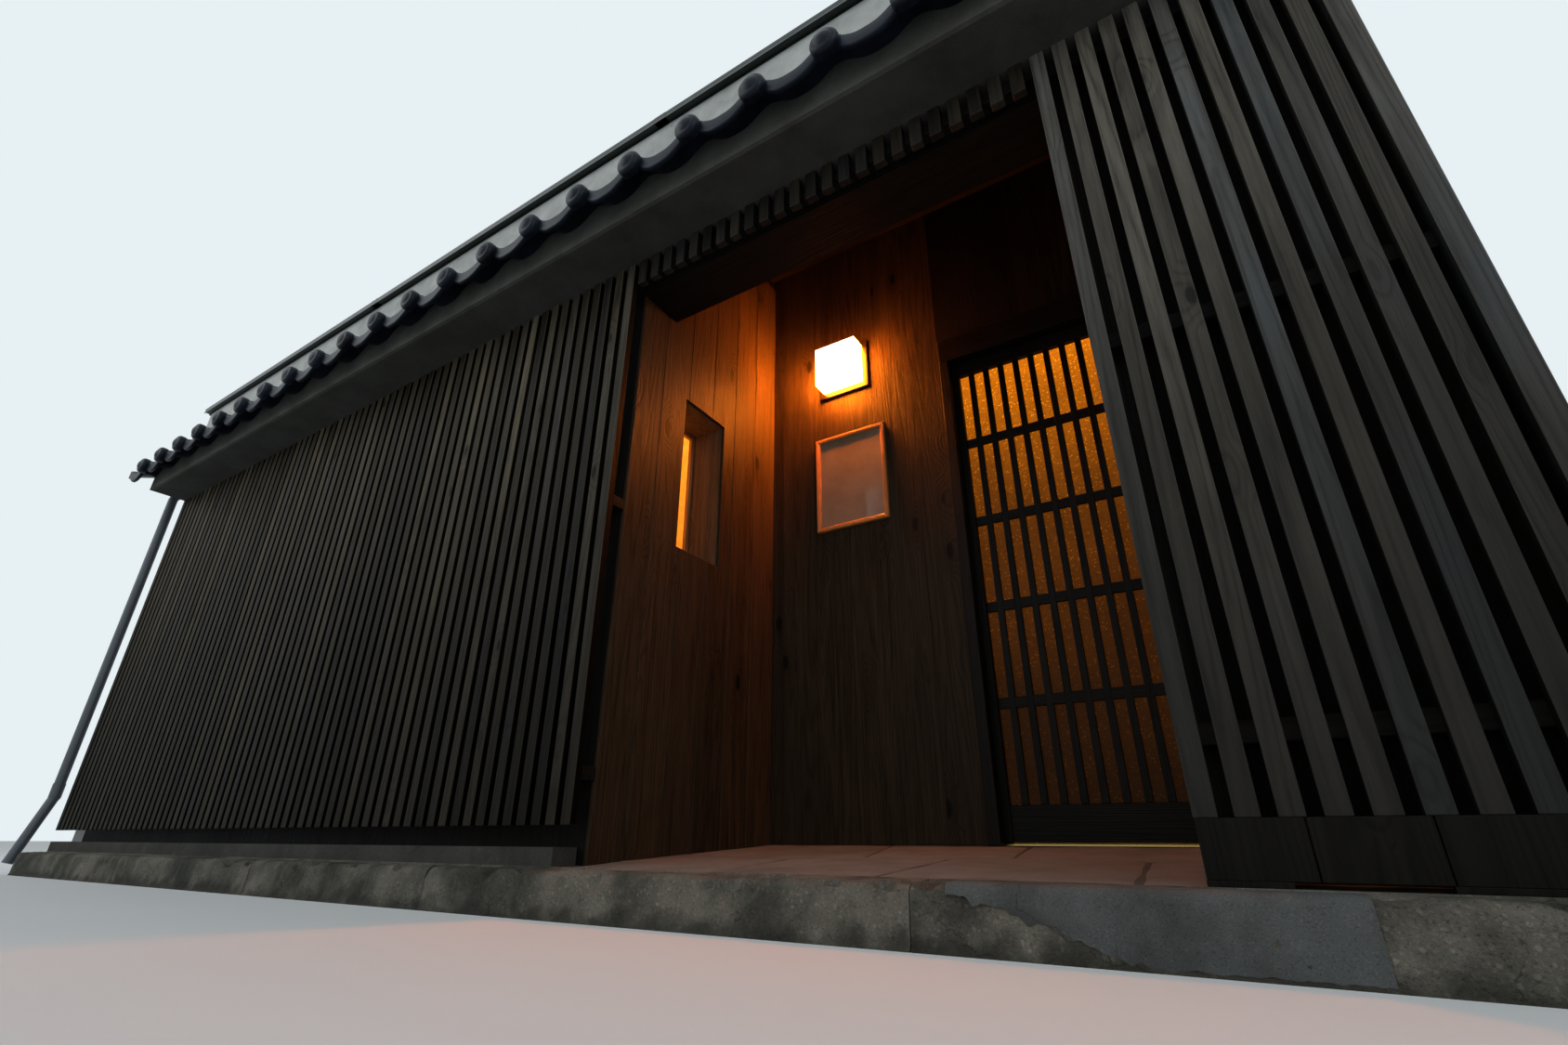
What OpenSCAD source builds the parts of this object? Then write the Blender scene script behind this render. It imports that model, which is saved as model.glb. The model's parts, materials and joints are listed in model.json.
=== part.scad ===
// Machiya townhouse: a slatted street front with a recessed entry, a sliding lattice door,
// a boxed eave with boss-ended pantiles and a plastered wall above it.
// Millimetres. +Z up from the ground, the street front faces -Y, +X runs right along it.
// Modules are drawn from the front plane of the slats, and street() puts that plane in place.

/* [Frontage] */
// Width of the slatted screen left of the entry
left_screen_w = 4084; // [3200:4:5200]
// Clear width of the entry between the two screens
entry_w = 1530; // [1400:10:1900]
// Width of the slatted screen right of the entry, with its end board
right_screen_w = 666; // [500:2:1100]
// Depth from the slats' front plane to the rear wall's outer face
house_depth = 6400; // [4800:50:9000]

/* [Levels above the ground] */
// Top of the kerb at the street
kerb_h = 115; // [90:5:140]
// Top of the mortar plinth under the left screen
plinth_h = 163; // [145:1:190]
// Floor level inside, at the door
floor_h = 170; // [150:5:175]
// Bottom of the slats
slat_base_h = 220; // [205:5:260]
// Height of the slats, from their bottom to the soffit
slat_h = 2040; // [1950:10:2300]
// Height of the front wall above the soffit, coping included
parapet_h = 712; // [640:4:900]

/* [Slats] */
// Face width of a slat
slat_w = 38; // [30:1:45]
// Gap between slats
slat_gap = 24; // [18:1:32]
// Depth of a slat, front to back
slat_t = 27; // [20:1:34]
// Height of the rails behind the slats
rail_h = 40; // [30:2:60]
// Distance from the slats' front to the wall behind them
wall_setback = 88; // [76:2:100]
// Length of the short slats over the entry
stub_h = 115; // [90:5:150]
// Width of the board that ends the right screen
end_board_w = 43; // [36:1:60]

/* [Walls] */
// Thickness of the party walls
party_t = 150; // [120:10:200]
// Thickness of the front wall behind the left screen
front_wall_t = 150; // [120:10:180]
// Thickness of the rear wall
rear_wall_t = 150; // [120:10:220]
// Thickness of the upper front wall
upper_wall_t = 200; // [180:10:240]
// How far the upper front wall stands before the slats
upper_wall_out = 37; // [25:1:60]
// How far the coping stands past the upper front wall
coping_out = 36; // [20:2:50]
// Thickness of the coping
coping_t = 42; // [30:2:60]

/* [Entry recess] */
// Depth of the recess, from the slats' front to the board wall with the door
recess_d = 1036; // [900:4:1300]
// How far the recess's side wall stands left of the left screen's edge
side_inset = 9; // [4:1:20]
// Thickness of the recess's side wall
side_wall_t = 200; // [160:10:260]
// Thickness of the board wall in front of the door pocket
pocket_front_t = 40; // [30:2:60]
// Thickness of the lining behind the door pocket
pocket_lining_t = 40; // [30:2:60]
// Width of the slit window, along the side wall
slit_w = 260; // [200:1:320]
// Height of the slit window
slit_h = 655; // [500:1:800]
// Bottom of the slit window above the slats' bottom
slit_z = 965; // [800:1:1100]
// Distance from the side wall's front end to the slit window
slit_y = 282; // [200:1:330]
// Height of the box beam over the entry, below the soffit
lintel_h = 96; // [90:2:150]
// Depth of the box beam over the entry
lintel_d = 202; // [160:2:260]

/* [Sliding door] */
// Distance from the recess's side wall to the door frame
door_x = 862; // [845:1:930]
// Face width of the door frame's jambs
jamb_w = 40; // [36:1:60]
// Height of the door frame's head
head_h = 118; // [90:2:150]
// Height of the door leaf
leaf_h = 1925; // [1780:5:1945]
// Thickness of the door leaf
leaf_t = 35; // [30:1:40]
// Width of the leaf's lock stile and of its pull stile beyond the jamb
stile_w = 26; // [22:1:45]
// Height of the leaf's bottom rail
bottom_rail_h = 114; // [80:1:160]
// Height of the leaf's top rail
top_rail_h = 67; // [50:1:100]
// Face width of the door's upright bars
bar_w = 24; // [16:1:28]
// Clear width of glass between two upright bars
pane_w = 39; // [30:0.5:48]
// Number of glass columns
pane_columns = 13; // [11:1:13]
// Number of glass rows
pane_rows = 5; // [3:1:7]
// Height of the door's level bars
cross_bar_h = 38; // [20:1:44]
// Thickness of the glass
glass_t = 4; // [3:0.5:6]
// How far the door slides
door_travel = 780; // [500:10:780]

/* [Boxed eave] */
// Distance from the slats' front to the fascia's face
fascia_out = 192; // [160:2:240]
// Thickness of the soffit board
soffit_t = 12; // [9:1:20]
// Thickness of the fascia board
fascia_t = 15; // [12:1:24]
// Distance from the slats' front to the eave tiles' lip
lip_out = 286; // [270:2:320]
// Height of the eave tiles' underside above the soffit, at the lip
lip_rise = 57; // [40:1:80]

/* [Tiles and main roof] */
// Number of pantile columns across the frontage
tile_columns = 24; // [20:1:28]
// Thickness of a tile
tile_t = 20; // [16:1:24]
// Height of the tiles' wave
tile_wave_h = 48; // [36:1:54]
// How far the eave tiles' lip hangs below them
lip_drop = 30; // [20:1:36]
// Thickness of the lip, front to back
lip_t = 18; // [14:1:24]
// Radius of the bosses on the eave tiles
boss_r = 48; // [40:1:54]
// How far a boss stands before the lip
boss_reach = 40; // [26:1:46]
// Distance from a tile crest's top down to its boss's centre
boss_drop = 35; // [28:1:42]
// Rise of the roofs for each unit of run
roof_slope = 0.4; // [0.32:0.01:0.45]
// Thickness of the main roof's deck with its rafters, measured upright
roof_deck_t = 100; // [80:5:140]
// How far the main roof's deck stands past the rear wall
rear_eave = 450; // [300:10:600]
// How far the roof tiles stand past the deck
tile_overhang = 50; // [30:5:70]
// Half the width of the ridge
ridge_half_w = 100; // [80:5:130]
// Height of the ridge's stacked tiles over the deck's top
ridge_h = 190; // [150:5:240]
// Radius of the ridge's round cap
ridge_cap_r = 75; // [60:1:78]

/* [Lamp, sign and downpipe] */
// Width and height of the wall lamp's shade
lamp_w = 208; // [180:2:280]
// Depth of the wall lamp's shade
lamp_d = 86; // [50:2:110]
// Distance from the side wall to the lamp's middle
lamp_x = 398; // [300:1:450]
// Height of the lamp's middle above the slats' bottom
lamp_z = 2016; // [1900:1:2100]
// Width of the sign's frame
sign_w = 344; // [250:2:400]
// Height of the sign's frame
sign_h = 466; // [400:2:600]
// Distance from the side wall to the sign's middle
sign_x = 415; // [300:1:450]
// Height of the sign's middle above the slats' bottom
sign_z = 1435; // [1300:1:1560]
// Radius of the downpipe
pipe_r = 25; // [20:1:30]

/* [Hidden] */
$fn = 48;

// Frontage, from the house's middle
frontage = left_screen_w + entry_w + right_screen_w;
x_left = -frontage / 2;
x_end = frontage / 2;
x_entry = x_left + left_screen_w;
x_right = x_entry + entry_w;
x_side = x_entry - side_inset;
x_in_left = x_left + party_t;
x_in_right = x_end - party_t;

// Kerb and plinth
kerb_out = 122;
plinth_end = 44;
plinth_x = x_side - plinth_end;

// Levels
soffit_z = slat_base_h + slat_h;
wall_foot_z = soffit_z + soffit_t;
coping_top_z = soffit_z + parapet_h;
coping_fall = 17;
eave_deck_t = 12;
coping_foot_z = coping_top_z - coping_t;

// Depths behind the slats' front plane
front_wall_back = wall_setback + front_wall_t;
upper_wall_back = upper_wall_t - upper_wall_out;
leaf_clear = 6;
pocket_w = leaf_t + 2 * leaf_clear;
recess_wall_t = pocket_front_t + pocket_w + pocket_lining_t;
recess_back = recess_d + recess_wall_t;
backing_t = 20;
right_rail_back = wall_setback - backing_t;
slit_frame_d = 37;
slit_frame_w = 22;

// Main roof: the ridge runs along the street, halfway between the upper front wall and the rear
roof_angle = atan(roof_slope);
gutter_w = 137;
gutter_wall = 25;
gutter_depth = 90;
roof_start_y = upper_wall_back + gutter_w;
ridge_y = (upper_wall_back + house_depth) / 2;
roof_sink = 130;
roof_start_z = coping_foot_z - roof_sink;
ridge_z = roof_start_z + roof_slope * (ridge_y - roof_start_y);
rear_eave_y = house_depth + rear_eave;
gutter_foot_z = roof_start_z - roof_deck_t;

// Tiles
tile_pitch = frontage / tile_columns;
wave_steps = 12;
crest_sharpness = 1.5;
tile_joint = 1;
lip_z = soffit_z + lip_rise;
crest_h = tile_t + tile_wave_h;
lip_bead = 4;
wing_reach = (frontage + tile_pitch) / 2;
boss_rim = 1;
boss_bed = 6;

// Slats
slat_pitch = slat_w + slat_gap;
rail_levels = [rail_h * 4 - 20, slat_h / 2, slat_h - 1.5 * rail_h];

// Skirt under the right screen
skirt_t = 27;
skirt_foot_h = 9;
skirt_foot_w = 122;
skirt_gap_w = 195;

// Sliding door
run_clear = 5;
leaf_lap = 12;
head_lap = 8;
frame_proud = 10;
frame_x = x_side + door_x;
leaf_y = recess_d + pocket_front_t + leaf_clear;
leaf_x = frame_x + jamb_w - leaf_lap;
panes_w = pane_columns * pane_w + (pane_columns - 1) * bar_w;
pull_stile_w = stile_w + leaf_lap;
panes_x = leaf_x + pull_stile_w;
leaf_w = pull_stile_w + panes_w + stile_w;
frame_w = jamb_w - leaf_lap + leaf_w + run_clear + jamb_w;
rail_top_h = 3;
track_h = 5;
wheel_r = 12;
wheel_clear = 0.3;
wheel_inset = 110;
leaf_z = floor_h + track_h + run_clear;
leaf_top = leaf_z + leaf_h;
head_z = leaf_top - head_lap;
frame_top = head_z + head_h;
panes_z = leaf_z + bottom_rail_h;
panes_h = leaf_h - bottom_rail_h - top_rail_h;
pane_h = (panes_h - (pane_rows - 1) * cross_bar_h) / pane_rows;
lattice_t = 14;
glass_y = leaf_y + leaf_t - 8 - glass_t;
glass_rebate = 10;

// Wall lamp and sign
lamp_base_t = 18;
lamp_base_margin = 25;
lamp_base_w = lamp_w + 2 * lamp_base_margin;
sign_t = 24;
sign_rim = 20;
sign_panel_t = 8;

// Route of the downpipe: from the box gutter's end down beside the eave and the left screen,
// with its foot leaning towards the street
pipe_x = x_left - 70;
pipe_y = -40;
pipe_bend_r = 60;
pipe_knee_z = 395;
pipe_lean = 14;
pipe_foot_l = 350;
pipe_socket_t = 3;
pipe_socket_l = 70;
pipe_turn_z = soffit_z + 60;
pipe_back_y = upper_wall_back + gutter_w / 2;
pipe_out_z = gutter_foot_z + gutter_wall + pipe_r;

// The outline of the whole part, from the wing tiles' lip to the rear tiles' ends
front_reach = lip_out + boss_reach;
rear_reach = rear_eave_y + tile_overhang + crest_h * sin(roof_angle);
street_y = (front_reach - rear_reach) / 2;

// Puts the slats' front plane where the part's origin lies halfway back
module street() {
    translate([0, street_y, 0]) children();
}

// A block from its left, front and lower corner to its right, back and upper corner
module block(low, high) {
    translate(low) cube(high - low);
}

// A profile drawn as [y, z] and carried along X
module along_x(x0, x1) {
    translate([x0, 0, 0]) rotate([90, 0, 90]) linear_extrude(x1 - x0) children();
}

// A profile drawn as [x, z] and carried back along Y
module along_y(y0, y1) {
    translate([0, y1, 0]) rotate([90, 0, 0]) linear_extrude(y1 - y0) children();
}

// Height of the main roof deck's top and underside at a depth
function deck_top(y) = ridge_z - roof_slope * abs(y - ridge_y);
function deck_foot(y) = deck_top(y) - roof_deck_t;

// Top line of what stands under the main roof between two depths, as [y, z] points
function under_roof(y0, y1) = concat(
    y0 < roof_start_y ? [[y0, gutter_foot_z]] : [[y0, deck_foot(y0)]],
    y0 < roof_start_y && y1 > roof_start_y ? [[roof_start_y, gutter_foot_z]] : [],
    y0 < ridge_y && y1 > ridge_y ? [[ridge_y, deck_foot(ridge_y)]] : [],
    [[y1, deck_foot(y1)]]);

// An upright wall from a level to the underside of the main roof
module roof_high_wall(x0, x1, y0, y1, z0) {
    along_x(x0, x1) polygon(concat([[y1, z0], [y0, z0]], under_roof(y0, y1)));
}

// The tiles' wave: round crests between wide troughs, with a trough on the house's middle
function wave(x) = tile_wave_h * pow(0.5 - 0.5 * cos(360 * x / tile_pitch), crest_sharpness);
function wave_xs(x0, x1) = let (n = ceil((x1 - x0) / tile_pitch * wave_steps))
    [for (i = [0:n]) x0 + (x1 - x0) * i / n];

// Where eave tile k, counted from the left, starts and ends; its right end lies past its boss
function tile_end(k) = min(wing_reach, (k + 0.5) * tile_pitch - frontage / 2 + boss_r + boss_rim);
function tile_start(k) = k == 0 ? -wing_reach : tile_end(k - 1) + tile_joint;

// Section of tiles between two places, as [x, height over the deck]
function wave_section(x0, x1) = let (xs = wave_xs(x0, x1), n = len(xs) - 1) concat(
    [for (i = [0:n]) [xs[i], wave(xs[i])]],
    [for (i = [n:-1:0]) [xs[i], wave(xs[i]) + tile_t]]);

// Places of the slats' left edges between two ends, evenly spread at about the slat pitch
function slat_places(x0, x1) = let (n = round((x1 - x0 - slat_w) / slat_pitch))
    [for (i = [0:n]) x0 + (x1 - x0 - slat_w) * i / n];

// Kerb, plinth and floors

module front_kerb() {
    color("darkgray") street()
        block([x_left, -kerb_out, 0], [x_end, 0, kerb_h]);
}

module left_plinth() {
    color("gray") street()
        block([x_left, 0, 0], [plinth_x, wall_setback, plinth_h]);
}

module porch_floor() {
    color("tan") street()
        intersection() {
            along_x(plinth_x, x_end)
                polygon([[0, 0], [recess_back, 0], [recess_back, floor_h], [recess_d, floor_h],
                    [0, kerb_h]]);
            union() {
                block([plinth_x, 0, 0], [x_end, wall_setback, floor_h]);
                block([x_side, 0, 0], [x_in_right, recess_back, floor_h]);
            }
        }
}

module floor_slab() {
    color("silver") street() {
        y1 = house_depth - rear_wall_t;
        block([x_in_left, front_wall_back, 0], [x_side - side_wall_t, y1, floor_h]);
        block([x_side - side_wall_t, recess_back, 0], [x_in_right, y1, floor_h]);
    }
}

// Walls

module party_wall(x0) {
    color("gainsboro") street()
        along_x(x0, x0 + party_t)
            polygon(concat([[house_depth, 0], [wall_setback, 0],
                [wall_setback, wall_foot_z], [upper_wall_back, wall_foot_z]],
                under_roof(upper_wall_back, house_depth)));
}

module left_party_wall() {
    party_wall(x_left);
}

module right_party_wall() {
    party_wall(x_in_right);
}

module rear_wall() {
    color("gainsboro") street()
        roof_high_wall(x_in_left, x_in_right, house_depth - rear_wall_t, house_depth, 0);
}

module left_front_wall() {
    color("saddlebrown") street()
        block([x_in_left, wall_setback, 0], [x_side - side_wall_t, front_wall_back, wall_foot_z]);
}

module recess_side_wall() {
    color("sienna") street()
        difference() {
            along_x(x_side - side_wall_t, x_side)
                polygon(concat([[recess_back, 0], [wall_setback, 0],
                    [wall_setback, wall_foot_z], [upper_wall_back, wall_foot_z]],
                    under_roof(upper_wall_back, recess_back)));
            translate([x_side - side_wall_t - 1, wall_setback + slit_y, slat_base_h + slit_z])
                cube([side_wall_t + 2, slit_w, slit_h]);
        }
}

module slit_window_frame() {
    color("peru") street()
        translate([x_side - side_wall_t, wall_setback + slit_y, slat_base_h + slit_z])
            difference() {
                cube([slit_frame_d, slit_w, slit_h]);
                translate([-1, slit_frame_w, slit_frame_w])
                    cube([slit_frame_d + 2, slit_w - 2 * slit_frame_w, slit_h - 2 * slit_frame_w]);
            }
}

module slit_window_glass() {
    color("orange") street()
        translate([x_side - side_wall_t + slit_frame_d / 2, wall_setback + slit_y + slit_frame_w,
                   slat_base_h + slit_z + slit_frame_w])
            cube([glass_t, slit_w - 2 * slit_frame_w, slit_h - 2 * slit_frame_w]);
}

module recess_wall_left() {
    color("sienna") street()
        roof_high_wall(x_side, frame_x, recess_d, recess_d + pocket_front_t, floor_h);
}

module pocket_lining() {
    color("sienna") street()
        roof_high_wall(x_side, frame_x, recess_back - pocket_lining_t, recess_back, floor_h);
}

module recess_wall_right() {
    color("sienna") street()
        roof_high_wall(frame_x + frame_w, x_in_right, recess_d, recess_back, floor_h);
}

module recess_wall_over_door() {
    color("sienna") street()
        roof_high_wall(frame_x, frame_x + frame_w, recess_d, recess_back, frame_top);
}

module upper_front_wall() {
    color("whitesmoke") street()
        block([x_left, -upper_wall_out, wall_foot_z], [x_end, upper_wall_back, coping_foot_z]);
}

module coping() {
    color("darkslategray") street()
        along_x(x_left - coping_out, x_end + coping_out)
            polygon([[-upper_wall_out - coping_out, coping_foot_z],
                [upper_wall_back + coping_out, coping_foot_z],
                [upper_wall_back + coping_out, coping_top_z - coping_fall],
                [-upper_wall_out - coping_out, coping_top_z]]);
}

module entry_lintel() {
    y0 = right_rail_back;
    y1 = y0 + lintel_d;
    color("sienna") street()
        along_x(x_side, x_in_right)
            polygon([[y0, soffit_z - lintel_h], [y1, soffit_z - lintel_h], [y1, wall_foot_z],
                [wall_setback, wall_foot_z], [wall_setback, soffit_z], [y0, soffit_z]]);
}

// Boxed eave

module soffit() {
    color("silver") street()
        block([x_left, fascia_t - fascia_out, soffit_z], [x_end, wall_setback, wall_foot_z]);
}

// Height of the eave tiles' underside over their troughs at a depth
function eave_line(y) = lip_z + roof_slope * (y + lip_out);

// The fascia's scallops follow the facets of the tiles that they carry
module fascia() {
    xs = concat([x_left],
        [for (k = [0:tile_columns]) for (x = wave_xs(tile_start(k), tile_end(k))) if (x > x_left && x < x_end) x],
        [x_end]);
    color("silver") street()
        along_y(-fascia_out, fascia_t - fascia_out)
            polygon(concat([[x_end, soffit_z], [x_left, soffit_z]],
                [for (x = xs) [x, eave_line(-fascia_out) + wave(x) / cos(roof_angle)]]));
}

module eave_deck() {
    y0 = fascia_t - fascia_out;
    y1 = -upper_wall_out;
    color("burlywood") street()
        along_x(x_left, x_end)
            polygon([[y0, eave_line(y0) - eave_deck_t], [y1, eave_line(y1) - eave_deck_t],
                [y1, eave_line(y1)], [y0, eave_line(y0)]]);
}

module eave_end_caps() {
    y0 = fascia_t - fascia_out;
    color("silver") street()
        for (x = [x_left, x_end - eave_deck_t])
            along_x(x, x + eave_deck_t)
                polygon([[y0, wall_foot_z], [-upper_wall_out, wall_foot_z],
                    [-upper_wall_out, eave_line(-upper_wall_out) - eave_deck_t],
                    [y0, eave_line(y0) - eave_deck_t]]);
}

// One eave tile: the sloping pan, its hanging lip and, on its right crest, the domed boss
module eave_tile(x0, x1, boss) {
    xs = wave_xs(x0, x1);
    n = len(xs) - 1;
    steep = 1 / cos(roof_angle);
    run = (lip_out - upper_wall_out) * steep;
    dome_h = 0.6 * boss_reach;
    dome_r = (boss_r * boss_r + dome_h * dome_h) / (2 * dome_h);
    boss_z = lip_z + crest_h * steep - boss_drop;
    intersection() {
        translate([0, -lip_out, lip_z]) rotate([roof_angle, 0, 0])
            translate([0, run, 0]) rotate([90, 0, 0])
                linear_extrude(run + 2 * crest_h) polygon(wave_section(x0, x1));
        block([x0 - 1, lip_t / 3 - lip_out, 0], [x1 + 1, 0, coping_top_z]);
    }
    along_y(-lip_out, lip_t - lip_out)
        polygon(concat([for (i = [0:n]) [xs[i], lip_z - lip_drop + wave(xs[i]) * steep]],
            [for (i = [n:-1:0]) [xs[i], lip_z + (wave(xs[i]) + tile_t) * steep + lip_bead]]));
    if (boss) {
        translate([x1 - boss_r - boss_rim, boss_bed - lip_out, boss_z]) rotate([90, 0, 0])
            intersection() {
                cylinder(r = boss_r, h = boss_bed + boss_reach + 1);
                translate([0, 0, boss_bed + boss_reach - dome_r]) sphere(r = dome_r);
            }
    }
}

module eave_tiles() {
    color("dimgray") street()
        for (k = [0:tile_columns])
            eave_tile(tile_start(k), tile_end(k), k < tile_columns);
}

// Main roof

module roof_deck_front() {
    color("burlywood") street()
        along_x(x_left, x_end)
            polygon([[roof_start_y, deck_foot(roof_start_y)], [ridge_y, deck_foot(ridge_y)],
                [ridge_y, deck_top(ridge_y)], [roof_start_y, deck_top(roof_start_y)]]);
}

module roof_deck_rear() {
    color("burlywood") street()
        along_x(x_left, x_end)
            polygon([[ridge_y, deck_foot(ridge_y)], [rear_eave_y, deck_foot(rear_eave_y)],
                [rear_eave_y, deck_top(rear_eave_y)], [ridge_y, deck_top(ridge_y)]]);
}

// A field of tiles down one slope: it starts beside the ridge and runs down to a depth
module tile_field(run, side) {
    translate([0, ridge_y + side * ridge_half_w, ridge_z - roof_slope * ridge_half_w])
        rotate([-side * roof_angle, 0, 0])
            translate([0, side > 0 ? run / cos(roof_angle) : 0, 0]) rotate([90, 0, 0])
                linear_extrude(run / cos(roof_angle)) polygon(wave_section(x_left, x_end));
}

module roof_tiles_front() {
    color("dimgray") street()
        tile_field(ridge_y - ridge_half_w - roof_start_y, -1);
}

module roof_tiles_rear() {
    color("dimgray") street()
        tile_field(rear_eave_y + tile_overhang - ridge_y - ridge_half_w, 1);
}

module roof_ridge() {
    w = ridge_half_w;
    color("dimgray") street() {
        along_x(x_left, x_end)
            polygon([[ridge_y, ridge_z], [ridge_y + w, deck_top(ridge_y + w)],
                [ridge_y + w, ridge_z + ridge_h], [ridge_y - w, ridge_z + ridge_h],
                [ridge_y - w, deck_top(ridge_y - w)]]);
        translate([x_left, ridge_y, ridge_z + ridge_h]) rotate([0, 90, 0])
            cylinder(r = ridge_cap_r, h = frontage);
    }
}

module box_gutter() {
    top = gutter_foot_z + gutter_depth;
    color("darkslategray") street()
        difference() {
            block([x_left, upper_wall_back, gutter_foot_z], [x_end, roof_start_y, top]);
            block([x_left + gutter_wall, upper_wall_back + gutter_wall, gutter_foot_z + gutter_wall],
                [x_end - gutter_wall, roof_start_y - gutter_wall, top + 1]);
        }
}

// Slatted screens

module slats(xs, z0, z1) {
    for (x = xs) block([x, 0, z0], [x + slat_w, slat_t, z1]);
}

module rails(x0, x1, back) {
    for (z = rail_levels)
        block([x0, slat_t, slat_base_h + z - rail_h / 2], [x1, back, slat_base_h + z + rail_h / 2]);
}

module left_screen() {
    color("dimgray") street() {
        slats(slat_places(x_left, x_entry), slat_base_h, soffit_z);
        rails(x_left, x_side, wall_setback);
    }
}

module entry_stubs() {
    n = round((entry_w - slat_gap) / slat_pitch);
    gap = (entry_w - n * slat_w) / (n + 1);
    color("dimgray") street() {
        slats([for (i = [0:n - 1]) x_entry + gap + i * (slat_w + gap)], soffit_z - stub_h, soffit_z);
        block([x_entry + gap, slat_t, soffit_z - 1.5 * rail_h],
            [x_right - gap, right_rail_back, soffit_z - rail_h / 2]);
    }
}

module right_screen() {
    color("dimgray") street() {
        slats(slat_places(x_right, x_end - end_board_w - slat_gap), slat_base_h, soffit_z);
        rails(x_right, x_end - end_board_w, right_rail_back);
        block([x_end - end_board_w, 0, slat_base_h], [x_end, wall_setback, soffit_z]);
    }
}

module right_backing() {
    color("saddlebrown") street()
        block([x_right, right_rail_back, slat_base_h],
            [x_end - end_board_w, wall_setback, soffit_z - lintel_h]);
}

module right_skirt() {
    foot = kerb_h + skirt_foot_h;
    color("sienna") street()
        difference() {
            block([x_right, 0, kerb_h], [x_end, wall_setback, slat_base_h]);
            block([x_right + skirt_t, skirt_t, kerb_h - 1],
                [x_end - skirt_t, wall_setback + 1, slat_base_h + 1]);
            block([x_right + skirt_foot_w, -1, kerb_h - 1],
                [x_right + skirt_foot_w + skirt_gap_w, wall_setback + 1, foot]);
            along_x(x_right - 1, x_end + 1)
                polygon([[-1, 0], [wall_setback + 1, 0],
                    [wall_setback + 1, kerb_h + (floor_h - kerb_h) * (wall_setback + 1) / recess_d],
                    [0, kerb_h], [-1, kerb_h]]);
        }
}

// Sliding door

module door_frame() {
    y0 = recess_d - frame_proud;
    y1 = recess_back + frame_proud;
    x1 = frame_x + frame_w;
    color("maroon") street() {
        difference() {
            block([frame_x, y0, head_z], [x1, y1, frame_top]);
            block([frame_x - 1, leaf_y - leaf_clear, head_z - 1],
                [x1 - jamb_w, leaf_y + leaf_t + leaf_clear, leaf_top + run_clear]);
        }
        block([frame_x, y0, floor_h], [frame_x + jamb_w, leaf_y - leaf_clear, head_z]);
        block([frame_x, leaf_y + leaf_t + leaf_clear, floor_h], [frame_x + jamb_w, y1, head_z]);
        block([x1 - jamb_w, y0, floor_h], [x1, y1, head_z]);
    }
}

module door_track() {
    rail_w = 6;
    middle = leaf_y + leaf_t / 2;
    x0 = leaf_x - door_travel - run_clear;
    x1 = frame_x + frame_w - jamb_w;
    color("goldenrod") street() {
        block([x0, middle - leaf_t / 2, floor_h],
            [x1, middle + leaf_t / 2, floor_h + track_h - rail_top_h]);
        block([x0, middle - rail_w / 2, floor_h], [x1, middle + rail_w / 2, floor_h + track_h]);
    }
}

module door_leaf() {
    x1 = leaf_x + leaf_w;
    middle = leaf_y + leaf_t / 2;
    wheel_z = floor_h + track_h + wheel_clear + wheel_r;
    color("saddlebrown") street() {
        difference() {
            block([leaf_x, leaf_y, leaf_z], [x1, leaf_y + leaf_t, leaf_top]);
            block([panes_x, leaf_y - 1, panes_z],
                [panes_x + panes_w, leaf_y + leaf_t + 1, panes_z + panes_h]);
            block([panes_x - glass_rebate, glass_y, panes_z - glass_rebate],
                [panes_x + panes_w + glass_rebate, glass_y + glass_t, panes_z + panes_h + glass_rebate]);
        }
        for (x = [leaf_x + wheel_inset, x1 - wheel_inset])
            translate([x, middle + 5, wheel_z]) rotate([90, 0, 0]) cylinder(r = wheel_r, h = 10);
    }
}

module door_lattice() {
    y0 = glass_y - lattice_t;
    color("saddlebrown") street() {
        for (i = [1:pane_columns - 1]) {
            x = panes_x + i * pane_w + (i - 1) * bar_w;
            block([x, y0, panes_z], [x + bar_w, glass_y, panes_z + panes_h]);
        }
        for (i = [1:pane_rows - 1]) {
            z = panes_z + i * pane_h + (i - 1) * cross_bar_h;
            block([panes_x, y0, z], [panes_x + panes_w, glass_y, z + cross_bar_h]);
        }
    }
}

module door_glass() {
    color("orange") street()
        block([panes_x - glass_rebate, glass_y, panes_z - glass_rebate],
            [panes_x + panes_w + glass_rebate, glass_y + glass_t, panes_z + panes_h + glass_rebate]);
}

// Lamp, sign and downpipe

module lamp_base() {
    x = x_side + lamp_x;
    z = slat_base_h + lamp_z;
    color("black") street()
        block([x - lamp_base_w / 2, recess_d - lamp_base_t, z - lamp_base_w / 2],
            [x + lamp_base_w / 2, recess_d, z + lamp_base_w / 2]);
}

module lamp_shade() {
    x = x_side + lamp_x;
    z = slat_base_h + lamp_z;
    y1 = recess_d - lamp_base_t;
    color("white") street()
        block([x - lamp_w / 2, y1 - lamp_d, z - lamp_w / 2], [x + lamp_w / 2, y1, z + lamp_w / 2]);
}

module sign_frame() {
    x = x_side + sign_x;
    z = slat_base_h + sign_z;
    color("darkorange") street()
        difference() {
            block([x - sign_w / 2, recess_d - sign_t, z - sign_h / 2],
                [x + sign_w / 2, recess_d, z + sign_h / 2]);
            block([x - sign_w / 2 + sign_rim, recess_d - sign_t - 1, z - sign_h / 2 + sign_rim],
                [x + sign_w / 2 - sign_rim, recess_d + 1, z + sign_h / 2 - sign_rim]);
        }
}

module sign_panel() {
    x = x_side + sign_x;
    z = slat_base_h + sign_z;
    color("ivory") street()
        block([x - sign_w / 2 + sign_rim, recess_d - sign_panel_t, z - sign_h / 2 + sign_rim],
            [x + sign_w / 2 - sign_rim, recess_d, z + sign_h / 2 - sign_rim]);
}

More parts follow.
